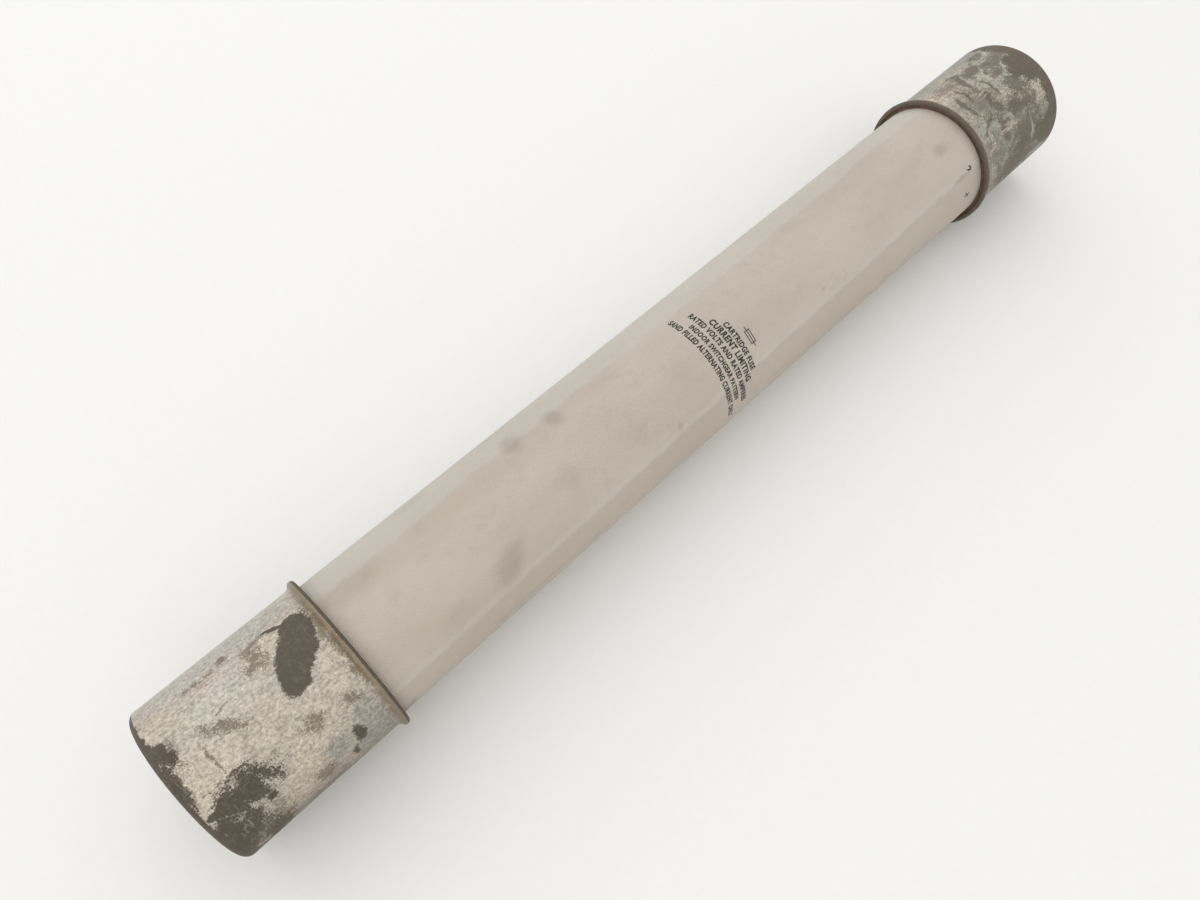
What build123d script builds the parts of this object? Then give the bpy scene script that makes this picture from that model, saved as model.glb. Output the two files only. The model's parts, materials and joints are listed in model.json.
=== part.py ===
from build123d import *
import os
from math import atan, cos, pi, sin, sqrt

# Cartridge fuse for a medium-voltage switchgear cubicle: a current-limiting, sand-filled type.
#
# The fuse lies along X. Its origin is the middle of its length on the barrel's axis. The -X end is
# the lower end, with the blown-fuse indicator in it, and the +X end is the upper end. Each end
# piece is drawn at the lower end by its depth in from the outer end face; the matching piece at
# the upper end is its mirror image. Four fuse elements are wound on a cross of two mica boards,
# whose arms point along +Y, +Z, -Y and -Z.

# ---------------------------------------------------------------- driving dimensions, mm
overall_length = 600.0

# Ferrule: a drawn cup with a flared, rounded mouth
ferrule_diameter = 76.2
ferrule_length = 82.5
ferrule_wall = 1.6
ferrule_corner_radius = 3.5
flare_rise = 2.55
flare_crown_width = 2.6
flare_slope_width = 1.8
flare_fillet_radius = 2.4
flare_edge_radius = 1.4
flare_inner_edge_radius = 0.4
mouth_taper_depth = 3.0
mouth_taper_rise = 1.8

# Barrel: wound glass-fibre and resin tube, cemented into both ferrules
barrel_wall = 4.4
barrel_end_chamfer = 0.5
cement_gap = 0.35
cement_recess = 0.9

# End plate: closes the barrel, with a spigot inside it
plate_thickness = 3.0
plate_edge_radius = 2.2
spigot_length = 6.0
spigot_clearance = 0.1
fill_hole_diameter = 16.0
fill_plug_slot_width = 2.0
fill_plug_slot_depth = 1.5
felt_thickness = 3.0
felt_clearance = 0.15
felt_strap_gap = 1.0

# Indicator: a spring plunger held in by a fine wire
housing_diameter = 16.0
housing_bore = 11.0
housing_length = 45.0
housing_flange_diameter = 26.0
housing_flange_thickness = 2.0
housing_lip_depth = 1.3
housing_hole_clearance = 0.1
plunger_nose_diameter = 8.0
plunger_nose_edge_radius = 0.8
plunger_recess = 0.3
plunger_travel = 12.7
plunger_stop_gap = 0.05
plunger_collar_length = 3.0
plunger_stub_diameter = 6.0
plunger_stub_length = 4.0
plunger_running_clearance = 0.1
plunger_wire_hole_depth = 8.0
seat_plug_depth = 2.0
seat_head_thickness = 2.0
spring_wire_diameter = 0.8
spring_diameter = 9.5
spring_turns = 9
indicator_wire_diameter = 0.5
wire_hole_diameter = 1.0
wire_offset = 6.0
wire_straight_length = 1.5
wire_bend_radius = 6.0
wire_terminal_gap = 4.0
anchor_diameter = 3.0
anchor_length = 5.0

# Terminals and straps: they carry the current from the end plates to the elements
terminal_bore_gap = 6.75
terminal_thickness = 2.0
terminal_standoff = 13.0
strap_width = 10.0
strap_thickness = 1.0
strap_edge_gap = 1.0
strap_foot_length = 9.5
strap_bend_radius = 1.5
strap_bend_inner_radius = 0.5
strap_fixing_inset = 6.0
strap_angles = (45.0, 225.0)
screw_diameter = 4.0
screw_depth = 7.0
screw_head_diameter = 6.5
screw_head_height = 2.0
screw_slot_width = 0.9
screw_slot_depth = 0.9
rivet_diameter = 3.2
rivet_head_diameter = 6.0
rivet_head_height = 1.2
rivet_head_edge_radius = 0.5

# Element core: two mica boards half-lapped into a cross
board_thickness = 1.5
board_edge_inset = 3.0
board_lap_clearance = 0.05
board_tab_width = 12.0
board_tab_clearance = 0.1

# Elements: four silver ribbons in a square helix round the core
element_count = 4
element_width = 4.0
element_thickness = 0.2
element_edge_inset = 2.0
element_pitch = 80.0
element_end_margin = 8.0
element_hole_diameter = 1.6
notch_clearance = 0.15
pad_length = 5.0
pad_thickness = 0.6

# ---------------------------------------------------------------- derived sizes
end_x = overall_length / 2
ferrule_radius = ferrule_diameter / 2
ferrule_bore_radius = ferrule_radius - ferrule_wall
flare_radius = ferrule_radius + flare_rise
barrel_radius = ferrule_bore_radius - cement_gap
barrel_bore_radius = barrel_radius - barrel_wall
barrel_start = ferrule_wall + plate_thickness
plate_inner_depth = barrel_start + spigot_length
spigot_radius = barrel_bore_radius - spigot_clearance

housing_radius = housing_diameter / 2
housing_bore_radius = housing_bore / 2
housing_hole_radius = housing_radius + housing_hole_clearance
plunger_nose_front = plunger_recess
plunger_collar_front = housing_lip_depth + plunger_travel + plunger_stop_gap
plunger_collar_back = plunger_collar_front + plunger_collar_length
plunger_stub_back = plunger_collar_back + plunger_stub_length
plunger_nose_radius = plunger_nose_diameter / 2
plunger_collar_radius = housing_bore_radius - plunger_running_clearance
housing_mouth_radius = plunger_nose_radius + plunger_running_clearance
wire_hole_radius = wire_hole_diameter / 2
seat_front = housing_length - seat_plug_depth
seat_back = housing_length + seat_head_thickness

terminal_radius = barrel_bore_radius - terminal_bore_gap
terminal_depth = seat_back + terminal_standoff
terminal_inner_depth = terminal_depth + terminal_thickness
core_half_length = end_x - terminal_inner_depth
strap_leg_outside = terminal_radius - strap_edge_gap
strap_foot_inside = strap_leg_outside - strap_foot_length
strap_fixing_radius = strap_leg_outside - strap_fixing_inset
felt_bore_radius = strap_leg_outside + felt_strap_gap

board_half_width = terminal_radius - board_edge_inset
element_arm_radius = board_half_width - element_edge_inset
arms = 4
element_span = 2 * (core_half_length - element_end_margin)
element_steps = round(element_span / (element_pitch / arms))
element_step = element_span / element_steps
face_length = element_arm_radius * sqrt(2)
element_slope = element_step / face_length
element_tilt = atan(element_slope)
element_half_axial = element_width / 2 / cos(element_tilt)
notch_half_width = element_half_axial + element_slope * board_thickness / sqrt(2) + notch_clearance
element_corner_rise = element_thickness / 2 * sqrt(2)
notch_bottom = element_arm_radius - board_thickness / 2 - element_corner_rise - notch_clearance


# ---------------------------------------------------------------- helpers
def turned(profile, radii=None):
    """Body of revolution about X: its profile is (depth, radius) points at the lower end."""
    points = [(depth - end_x, radius) for depth, radius in profile]
    if radii is None:
        outline = Polyline(*points, close=True)
    else:
        outline = FilletPolyline(*points, radius=radii, close=True)
    return revolve(make_face(outline), axis=Axis.X)


def disc(start, end, radius, bore=0.0):
    """Disc or ring about X between two depths at the lower end."""
    section = Circle(radius)
    if bore > 0:
        section -= Circle(bore)
    return extrude(Plane.YZ.offset(start - end_x) * section, end - start)


def rod(start, end, radius, y, z=0.0):
    """Cylinder along X through (y, z), between two depths at the lower end."""
    return extrude(Plane.YZ.offset(start - end_x) * Pos(y, z) * Circle(radius), end - start)


def upper(shape):
    """The same piece at the upper end."""
    return mirror(shape, about=Plane.YZ)


def round_strap_positions(shape):
    """A piece drawn on the +Y side, repeated at each strap's angle about X."""
    return [Rot(X=angle) * shape for angle in strap_angles]


def solids_of(shapes):
    """One compound that holds every solid of the given shapes."""
    return Compound(children=[solid for shape in shapes for solid in shape.solids()])


def arm_point(arm, radius):
    """The (y, z) point at a radius on an arm of the core."""
    angle = arm * 2 * pi / arms
    return radius * cos(angle), radius * sin(angle)


# ---------------------------------------------------------------- ferrules, barrel and cement
def ferrule(hole_radius):
    """Drawn cup with rounded end corner and flared mouth, open towards the barrel."""
    crown_start = ferrule_length - flare_crown_width
    mouth_radius = ferrule_bore_radius + mouth_taper_rise
    profile = [
        (0, hole_radius),
        (0, ferrule_radius),
        (crown_start - flare_slope_width, ferrule_radius),
        (crown_start, flare_radius),
        (ferrule_length, flare_radius),
        (ferrule_length, mouth_radius),
        (ferrule_length - mouth_taper_depth, ferrule_bore_radius),
        (ferrule_wall, ferrule_bore_radius),
        (ferrule_wall, hole_radius),
    ]
    inner_corner = ferrule_corner_radius - ferrule_wall
    radii = [
        0,
        ferrule_corner_radius,
        flare_fillet_radius,
        flare_edge_radius,
        flare_edge_radius,
        flare_inner_edge_radius,
        0,
        inner_corner,
        0,
    ]
    return turned(profile, radii)


def cement():
    """Resin between barrel and ferrule, finished with a bead in the flared mouth."""
    bead_depth = mouth_taper_depth - cement_recess
    bead_radius = ferrule_bore_radius + mouth_taper_rise * bead_depth / mouth_taper_depth
    profile = [
        (barrel_start, barrel_radius),
        (barrel_start, ferrule_bore_radius),
        (ferrule_length - mouth_taper_depth, ferrule_bore_radius),
        (ferrule_length - cement_recess, bead_radius),
        (ferrule_length - cement_recess / 2, barrel_radius),
    ]
    return turned(profile)


def barrel():
    """Tube between the two end plates, with both ends chamfered."""
    tube = disc(barrel_start, overall_length - barrel_start, barrel_radius, barrel_bore_radius)
    ends = tube.edges().filter_by(GeomType.CIRCLE)
    return chamfer(ends, barrel_end_chamfer)


# ---------------------------------------------------------------- end plates
def end_plate(hole_radius):
    """Flat plate on the barrel's end, with a spigot in its bore and tapped strap holes."""
    profile = [
        (ferrule_wall, hole_radius),
        (ferrule_wall, barrel_radius),
        (barrel_start, barrel_radius),
        (barrel_start, spigot_radius),
        (plate_inner_depth, spigot_radius),
        (plate_inner_depth, hole_radius),
    ]
    plate = turned(profile, [0, plate_edge_radius, 0, 0, barrel_end_chamfer, 0])
    hole = rod(plate_inner_depth - screw_depth, plate_inner_depth, screw_diameter / 2, strap_fixing_radius)
    return plate - round_strap_positions(hole)


def fill_plug():
    """Plug in the upper end plate's sand hole, flush on both sides, with a driver slot."""
    radius = fill_hole_diameter / 2
    plug = disc(ferrule_wall, plate_inner_depth, radius)
    slot_x = ferrule_wall + fill_plug_slot_depth / 2 - end_x
    slot = Pos(X=slot_x) * Box(fill_plug_slot_depth, fill_plug_slot_width, 2 * radius)
    return upper(plug - slot)


def felt_ring():
    """Felt ring on the spigot's face that keeps the sand out of the joint."""
    felt_radius = barrel_bore_radius - felt_clearance
    return disc(plate_inner_depth, plate_inner_depth + felt_thickness, felt_radius, felt_bore_radius)


# ---------------------------------------------------------------- blown-fuse indicator
def indicator_housing():
    """Bored sleeve, flush with the ferrule's face, with a flange behind the end plate."""
    flange_radius = housing_flange_diameter / 2
    flange_back = plate_inner_depth + housing_flange_thickness
    profile = [
        (0, housing_mouth_radius),
        (0, housing_radius),
        (plate_inner_depth, housing_radius),
        (plate_inner_depth, flange_radius),
        (flange_back, flange_radius),
        (flange_back, housing_radius),
        (housing_length, housing_radius),
        (housing_length, housing_bore_radius),
        (housing_lip_depth, housing_bore_radius),
        (housing_lip_depth, housing_mouth_radius),
    ]
    return turned(profile)


def indicator_plunger():
    """Round-nosed plunger whose collar stops behind the housing's lip at full travel."""
    profile = [
        (plunger_nose_front, 0),
        (plunger_nose_front, plunger_nose_radius),
        (plunger_collar_front, plunger_nose_radius),
        (plunger_collar_front, plunger_collar_radius),
        (plunger_collar_back, plunger_collar_radius),
        (plunger_collar_back, plunger_stub_diameter / 2),
        (plunger_stub_back, plunger_stub_diameter / 2),
        (plunger_stub_back, wire_hole_radius),
        (plunger_stub_back - plunger_wire_hole_depth, wire_hole_radius),
        (plunger_stub_back - plunger_wire_hole_depth, 0),
    ]
    return turned(profile, [0, plunger_nose_edge_radius, 0, 0, 0, 0, 0, 0, 0, 0])


def spring_seat():
    """Plug that closes the housing's inner end and lets the wire through."""
    profile = [
        (seat_front, wire_hole_radius),
        (seat_front, housing_bore_radius),
        (housing_length, housing_bore_radius),
        (housing_length, housing_radius),
        (seat_back, housing_radius),
        (seat_back, wire_hole_radius),
    ]
    return turned(profile)


def indicator_spring():
    """Compression spring between the plunger's collar and the spring seat."""
    wire_radius = spring_wire_diameter / 2
    height = seat_front - plunger_collar_back - spring_wire_diameter
    start = (plunger_collar_back + wire_radius - end_x, 0, 0)
    mean_radius = spring_diameter / 2 - wire_radius
    coil = Helix(height / spring_turns, height, mean_radius, center=start, direction=(1, 0, 0))
    section = Plane(origin=coil @ 0, z_dir=coil % 0) * Circle(wire_radius)
    return sweep(section, path=coil, is_frenet=True)


def indicator_wire():
    """Fine wire from the plunger, through the core beside the axis, to the upper terminal."""
    start = plunger_stub_back - plunger_wire_hole_depth + wire_hole_diameter - end_x
    bend = seat_back + wire_straight_length - end_x
    beside_axis = terminal_depth - wire_terminal_gap - end_x
    finish = end_x - terminal_depth + anchor_length
    route = FilletPolyline(
        (start, 0, 0),
        (bend, 0, 0),
        (beside_axis, wire_offset, wire_offset),
        (finish, wire_offset, wire_offset),
        radius=wire_bend_radius,
    )
    section = Plane(origin=route @ 0, z_dir=route % 0) * Circle(indicator_wire_diameter / 2)
    return sweep(section, path=route)


def wire_anchor():
    """Crimped sleeve that holds the indicator wire behind the upper terminal."""
    start = terminal_depth - anchor_length
    sleeve = rod(start, terminal_depth, anchor_diameter / 2, wire_offset, wire_offset)
    sleeve -= rod(start, terminal_depth, indicator_wire_diameter / 2, wire_offset, wire_offset)
    return upper(sleeve)


# ---------------------------------------------------------------- terminals and straps
def terminal():
    """Disc with a cross-shaped slot for the boards' tabs and holes for rivets and wire."""
    plate = disc(terminal_depth, terminal_inner_depth, terminal_radius)
    slot_width = board_thickness + 2 * board_tab_clearance
    slot_length = board_tab_width + 2 * board_tab_clearance
    middle = Pos(X=terminal_depth + terminal_thickness / 2 - end_x)
    plate -= middle * Box(terminal_thickness, slot_length, slot_width)
    plate -= middle * Box(terminal_thickness, slot_width, slot_length)
    plate -= rod(terminal_depth, terminal_inner_depth, wire_hole_radius, wire_offset, wire_offset)
    hole = rod(terminal_depth, terminal_inner_depth, rivet_diameter / 2, strap_fixing_radius)
    return plate - round_strap_positions(hole)


def strap():
    """Copper strap with one foot on the end plate and one on the terminal."""
    inner_y = strap_leg_outside - strap_thickness
    plate_foot = plate_inner_depth + strap_thickness
    terminal_foot = terminal_depth - strap_thickness
    profile = [
        (plate_inner_depth, strap_foot_inside),
        (plate_inner_depth, strap_leg_outside),
        (terminal_depth, strap_leg_outside),
        (terminal_depth, strap_foot_inside),
        (terminal_foot, strap_foot_inside),
        (terminal_foot, inner_y),
        (plate_foot, inner_y),
        (plate_foot, strap_foot_inside),
    ]
    points = [(depth - end_x, y) for depth, y in profile]
    outer = strap_bend_radius
    inner = strap_bend_inner_radius
    outline = FilletPolyline(*points, radius=[0, outer, outer, 0, 0, inner, inner, 0], close=True)
    bar = extrude(make_face(outline), strap_width / 2, both=True)
    plate_hole = rod(plate_inner_depth, plate_foot, screw_diameter / 2, strap_fixing_radius)
    terminal_hole = rod(terminal_foot, terminal_depth, rivet_diameter / 2, strap_fixing_radius)
    return bar - plate_hole - terminal_hole


def strap_screw():
    """Slotted screw that clamps a strap's foot to the end plate; its thread is plain."""
    head_start = plate_inner_depth + strap_thickness
    head_end = head_start + screw_head_height
    tip = plate_inner_depth - screw_depth
    screw = rod(tip, head_start, screw_diameter / 2, strap_fixing_radius)
    screw += rod(head_start, head_end, screw_head_diameter / 2, strap_fixing_radius)
    slot_x = head_end - screw_slot_depth / 2 - end_x
    slot = Box(screw_slot_depth, screw_slot_width, screw_head_diameter)
    return screw - Pos(slot_x, strap_fixing_radius, 0) * slot


def strap_rivet():
    """Two-headed rivet through a strap's foot and the terminal."""
    foot = terminal_depth - strap_thickness
    body = rod(foot, terminal_inner_depth, rivet_diameter / 2, strap_fixing_radius)
    head_radius = rivet_head_diameter / 2
    outer_head = rod(foot - rivet_head_height, foot, head_radius, strap_fixing_radius)
    inner_end = terminal_inner_depth + rivet_head_height
    inner_head = rod(terminal_inner_depth, inner_end, head_radius, strap_fixing_radius)
    outer_rim = outer_head.edges().filter_by(GeomType.CIRCLE).sort_by(Axis.X)[0]
    inner_rim = inner_head.edges().filter_by(GeomType.CIRCLE).sort_by(Axis.X)[-1]
    outer_head = fillet(outer_rim, rivet_head_edge_radius)
    inner_head = fillet(inner_rim, rivet_head_edge_radius)
    return body + outer_head + inner_head


# ---------------------------------------------------------------- element core and elements
def element_x(step):
    """Place along X of the middle of a ribbon where it crosses an arm."""
    return -element_span / 2 + step * element_step


def plain_board():
    """Board in the XY plane with a tab at each end, before its slot and notches."""
    blank = Rectangle(2 * core_half_length, 2 * board_half_width)
    tabs = Rectangle(2 * (core_half_length + terminal_thickness), board_tab_width)
    return extrude(blank + tabs, board_thickness / 2, both=True)


def spider_board(slot_side):
    """Board with a half-lap slot on one half and a notch for each ribbon on both edges."""
    board = plain_board()
    full_half = core_half_length + terminal_thickness
    slot_width = board_thickness + 2 * board_lap_clearance
    board -= Pos(X=slot_side * full_half / 2) * Box(full_half, slot_width, board_thickness)
    depth = board_half_width - notch_bottom
    centre_y = notch_bottom + depth / 2
    notch = Box(2 * notch_half_width, depth, board_thickness)
    places = [
        Pos(element_x(step), side * centre_y, 0)
        for step in range(element_steps + 1)
        for side in (-1, 1)
    ]
    return board - [place * notch for place in places]


def flat_face(*corners):
    """Planar face through the given corners."""
    return Face(Wire.make_polygon([Vector(*corner) for corner in corners]))


def element_corner_rings(start_arm):
    """Ribbon cross-sections from end to end: (arm fraction points, trailing x, leading x)."""
    low_x = -core_half_length
    high_x = core_half_length
    rings = []
    first = start_arm % arms
    last_step = element_steps
    rings.append(end_section(first - 1, first, low_x, element_x(0), -1))
    for step in range(last_step + 1):
        arm = start_arm + step
        x = element_x(step)
        inner = arm_point(arm, element_arm_radius - element_corner_rise)
        outer = arm_point(arm, element_arm_radius + element_corner_rise)
        trailing = x - element_half_axial
        leading = x + element_half_axial
        rings.append([(trailing, *inner), (leading, *inner), (leading, *outer), (trailing, *outer)])
    last_arm = start_arm + last_step
    rings.append(end_section(last_arm, last_arm + 1, high_x, element_x(last_step), 1))
    return rings


def end_section(arm_a, arm_b, end_plane_x, corner_x, direction):
    """Cut end of a ribbon, flat on a terminal, part of the way across a face of the core."""
    reach = abs(end_plane_x - corner_x)
    near_share = (reach - element_half_axial) / element_step
    far_share = (reach + element_half_axial) / element_step
    if direction < 0:
        shares = (1 - near_share, 1 - far_share)
    else:
        shares = (far_share, near_share)
    section = []
    for share, offset in (
        (shares[0], -element_corner_rise),
        (shares[1], -element_corner_rise),
        (shares[1], element_corner_rise),
        (shares[0], element_corner_rise),
    ):
        ya, za = arm_point(arm_a, element_arm_radius + offset)
        yb, zb = arm_point(arm_b, element_arm_radius + offset)
        section.append((end_plane_x, ya + share * (yb - ya), za + share * (zb - za)))
    return section


def plain_element(start_arm):
    """Ribbon bent round the arms: flat between them, with every side split into triangles."""
    rings = element_corner_rings(start_arm)
    faces = [flat_face(*reversed(rings[0])), flat_face(*rings[-1])]
    for here, there in zip(rings, rings[1:]):
        for i in range(len(here)):
            j = (i + 1) % len(here)
            faces.append(flat_face(here[i], here[j], there[j]))
            faces.append(flat_face(here[i], there[j], there[i]))
    ribbon = Solid(Shell(faces))
    if ribbon.volume < 0:
        ribbon = Solid(Shell([-face for face in faces]))
    return ribbon


def face_plane(start_arm, step):
    """Plane on a ribbon's outer side at the middle of a straight stretch, X along the ribbon."""
    ya, za = arm_point(start_arm + step, element_arm_radius)
    yb, zb = arm_point(start_arm + step + 1, element_arm_radius)
    across = Vector(0, (ya + yb) / 2, (za + zb) / 2)
    middle_x = (element_x(step) + element_x(step + 1)) / 2
    outwards = across.normalized()
    centre = Vector(middle_x, 0, 0) + across + outwards * (element_thickness / 2)
    return Plane(origin=centre, x_dir=(element_step, yb - ya, zb - za), z_dir=outwards)


def element(start_arm):
    """Ribbon with a round hole, its weak spot, in the middle of each plain stretch."""
    middle = element_steps // 2
    hole = Cylinder(element_hole_diameter / 2, 4 * element_thickness)
    steps = [step for step in range(element_steps) if step != middle]
    return plain_element(start_arm) - [face_plane(start_arm, step) * hole for step in steps]


def melting_pad(start_arm):
    """Tin-alloy pad on the middle stretch of a ribbon, where an overload melts it first."""
    pad = Box(pad_length, element_width, pad_thickness)
    return face_plane(start_arm, element_steps // 2) * Pos(Z=pad_thickness / 2) * pad


# ---------------------------------------------------------------- sand
def sand_fill(pieces):
    """Packed sand: the barrel's bore between the end plates, less everything standing in it."""
    sand = disc(plate_inner_depth, overall_length - plate_inner_depth, barrel_bore_radius)
    housing_core = disc(plate_inner_depth, seat_back, housing_radius)
    terminal_blank = disc(terminal_depth, terminal_inner_depth, terminal_radius)
    boards = [plain_board(), Rot(X=90) * plain_board()]
    ribbons = [plain_element(number) for number in range(element_count)]
    blanks = [housing_core, terminal_blank, upper(terminal_blank), *boards, *ribbons]
    for piece in blanks + pieces:
        sand -= piece
    return sand


# ---------------------------------------------------------------- assembly
strap_sets = {"lower": round_strap_positions(strap())}
strap_sets["upper"] = [upper(bar) for bar in strap_sets["lower"]]
screws = round_strap_positions(strap_screw())
rivets = round_strap_positions(strap_rivet())

nodes = {
    "barrel": barrel(),
    "lower_ferrule": ferrule(housing_hole_radius),
    "upper_ferrule": upper(ferrule(0)),
    "lower_cement": cement(),
    "upper_cement": upper(cement()),
    "lower_end_plate": end_plate(housing_hole_radius),
    "upper_end_plate": upper(end_plate(fill_hole_diameter / 2)),
    "fill_plug": fill_plug(),
    "lower_felt_ring": felt_ring(),
    "upper_felt_ring": upper(felt_ring()),
    "indicator_housing": indicator_housing(),
    "indicator_plunger": indicator_plunger(),
    "indicator_spring": indicator_spring(),
    "spring_seat": spring_seat(),
    "indicator_wire": indicator_wire(),
    "wire_anchor": wire_anchor(),
    "lower_terminal": terminal(),
    "upper_terminal": upper(terminal()),
    "strap_screws": solids_of(screws + [upper(screw) for screw in screws]),
    "strap_rivets": solids_of(rivets + [upper(rivet) for rivet in rivets]),
    "spider_board_a": spider_board(1),
    "spider_board_b": Rot(X=90) * spider_board(-1),
}
for end, bars in strap_sets.items():
    for letter, bar in zip("ab", bars):
        nodes[f"{end}_strap_{letter}"] = bar
for number in range(element_count):
    nodes[f"element_{number + 1}"] = element(number)
nodes["melting_pads"] = solids_of([melting_pad(number) for number in range(element_count)])

IN_THE_SAND = [
    "indicator_housing",
    "spring_seat",
    "indicator_wire",
    "wire_anchor",
    "lower_felt_ring",
    "upper_felt_ring",
    "strap_screws",
    "strap_rivets",
    "lower_strap_a",
    "lower_strap_b",
    "upper_strap_a",
    "upper_strap_b",
    "melting_pads",
]
nodes["sand_fill"] = sand_fill([nodes[name] for name in IN_THE_SAND])

os.makedirs("parts", exist_ok=True)
for name, shape in nodes.items():
    export_step(shape, f"parts/{name}.step")
    print(f"{name}: {len(shape.solids())} solid(s), {shape.volume:.1f} mm3")
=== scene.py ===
"""Looks of a medium-voltage cartridge fuse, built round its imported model.

Lengths are in metres unless a name says millimetres. The fuse lies along X. A place on the outside
is given unrolled, in millimetres: how far along X, and how far round from the top, which is
positive towards -Y.
"""

from __future__ import annotations

import json
import logging
import math
from collections.abc import Callable
from dataclasses import dataclass
from enum import Enum

import bpy
from mathutils import Matrix, Vector

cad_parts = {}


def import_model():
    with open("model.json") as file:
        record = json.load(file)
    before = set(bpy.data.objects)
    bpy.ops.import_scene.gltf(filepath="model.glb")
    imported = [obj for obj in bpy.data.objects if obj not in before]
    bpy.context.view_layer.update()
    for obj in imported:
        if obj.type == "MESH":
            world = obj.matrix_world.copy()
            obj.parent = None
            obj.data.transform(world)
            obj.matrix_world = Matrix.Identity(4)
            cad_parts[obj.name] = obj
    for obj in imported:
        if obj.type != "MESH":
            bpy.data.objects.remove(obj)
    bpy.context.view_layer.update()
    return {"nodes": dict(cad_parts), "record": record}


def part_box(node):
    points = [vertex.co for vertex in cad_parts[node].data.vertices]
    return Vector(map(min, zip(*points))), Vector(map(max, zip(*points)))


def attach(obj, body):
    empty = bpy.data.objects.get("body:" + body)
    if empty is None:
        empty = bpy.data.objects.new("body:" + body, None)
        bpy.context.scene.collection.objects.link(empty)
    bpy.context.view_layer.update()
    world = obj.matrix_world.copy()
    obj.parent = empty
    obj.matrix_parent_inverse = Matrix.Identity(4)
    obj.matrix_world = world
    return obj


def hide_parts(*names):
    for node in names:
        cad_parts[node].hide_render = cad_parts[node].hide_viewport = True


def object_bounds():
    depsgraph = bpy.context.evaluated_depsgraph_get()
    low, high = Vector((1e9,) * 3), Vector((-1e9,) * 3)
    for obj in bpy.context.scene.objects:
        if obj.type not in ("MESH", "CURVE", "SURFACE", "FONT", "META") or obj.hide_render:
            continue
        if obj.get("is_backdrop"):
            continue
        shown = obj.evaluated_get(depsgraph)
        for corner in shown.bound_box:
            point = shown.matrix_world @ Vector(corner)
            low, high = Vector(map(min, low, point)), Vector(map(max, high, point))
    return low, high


LOG = logging.getLogger("cartridge_fuse")
MM = 0.001
# Glass cloth of the barrel: thread pitch along it, and threads round it.
CLOTH_PITCH_MM = 0.8
CLOTH_THREADS_ROUND = 284.0
# Edge of the last wrap: how far round it is at the middle, and how fast it falls back along X.
WRAP_EDGE_MM = 39.5
WRAP_SLANT = 0.022
# Hole in the lower end face that the indicator's housing shows through, 0.1 mm clear of it.
INDICATOR_HOLE_RADIUS = 0.0081
Colour = tuple[float, float, float]


class End(Enum):
    """The two ends of the fuse, by the sign of X."""

    LOWER = -1
    UPPER = 1


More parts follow.
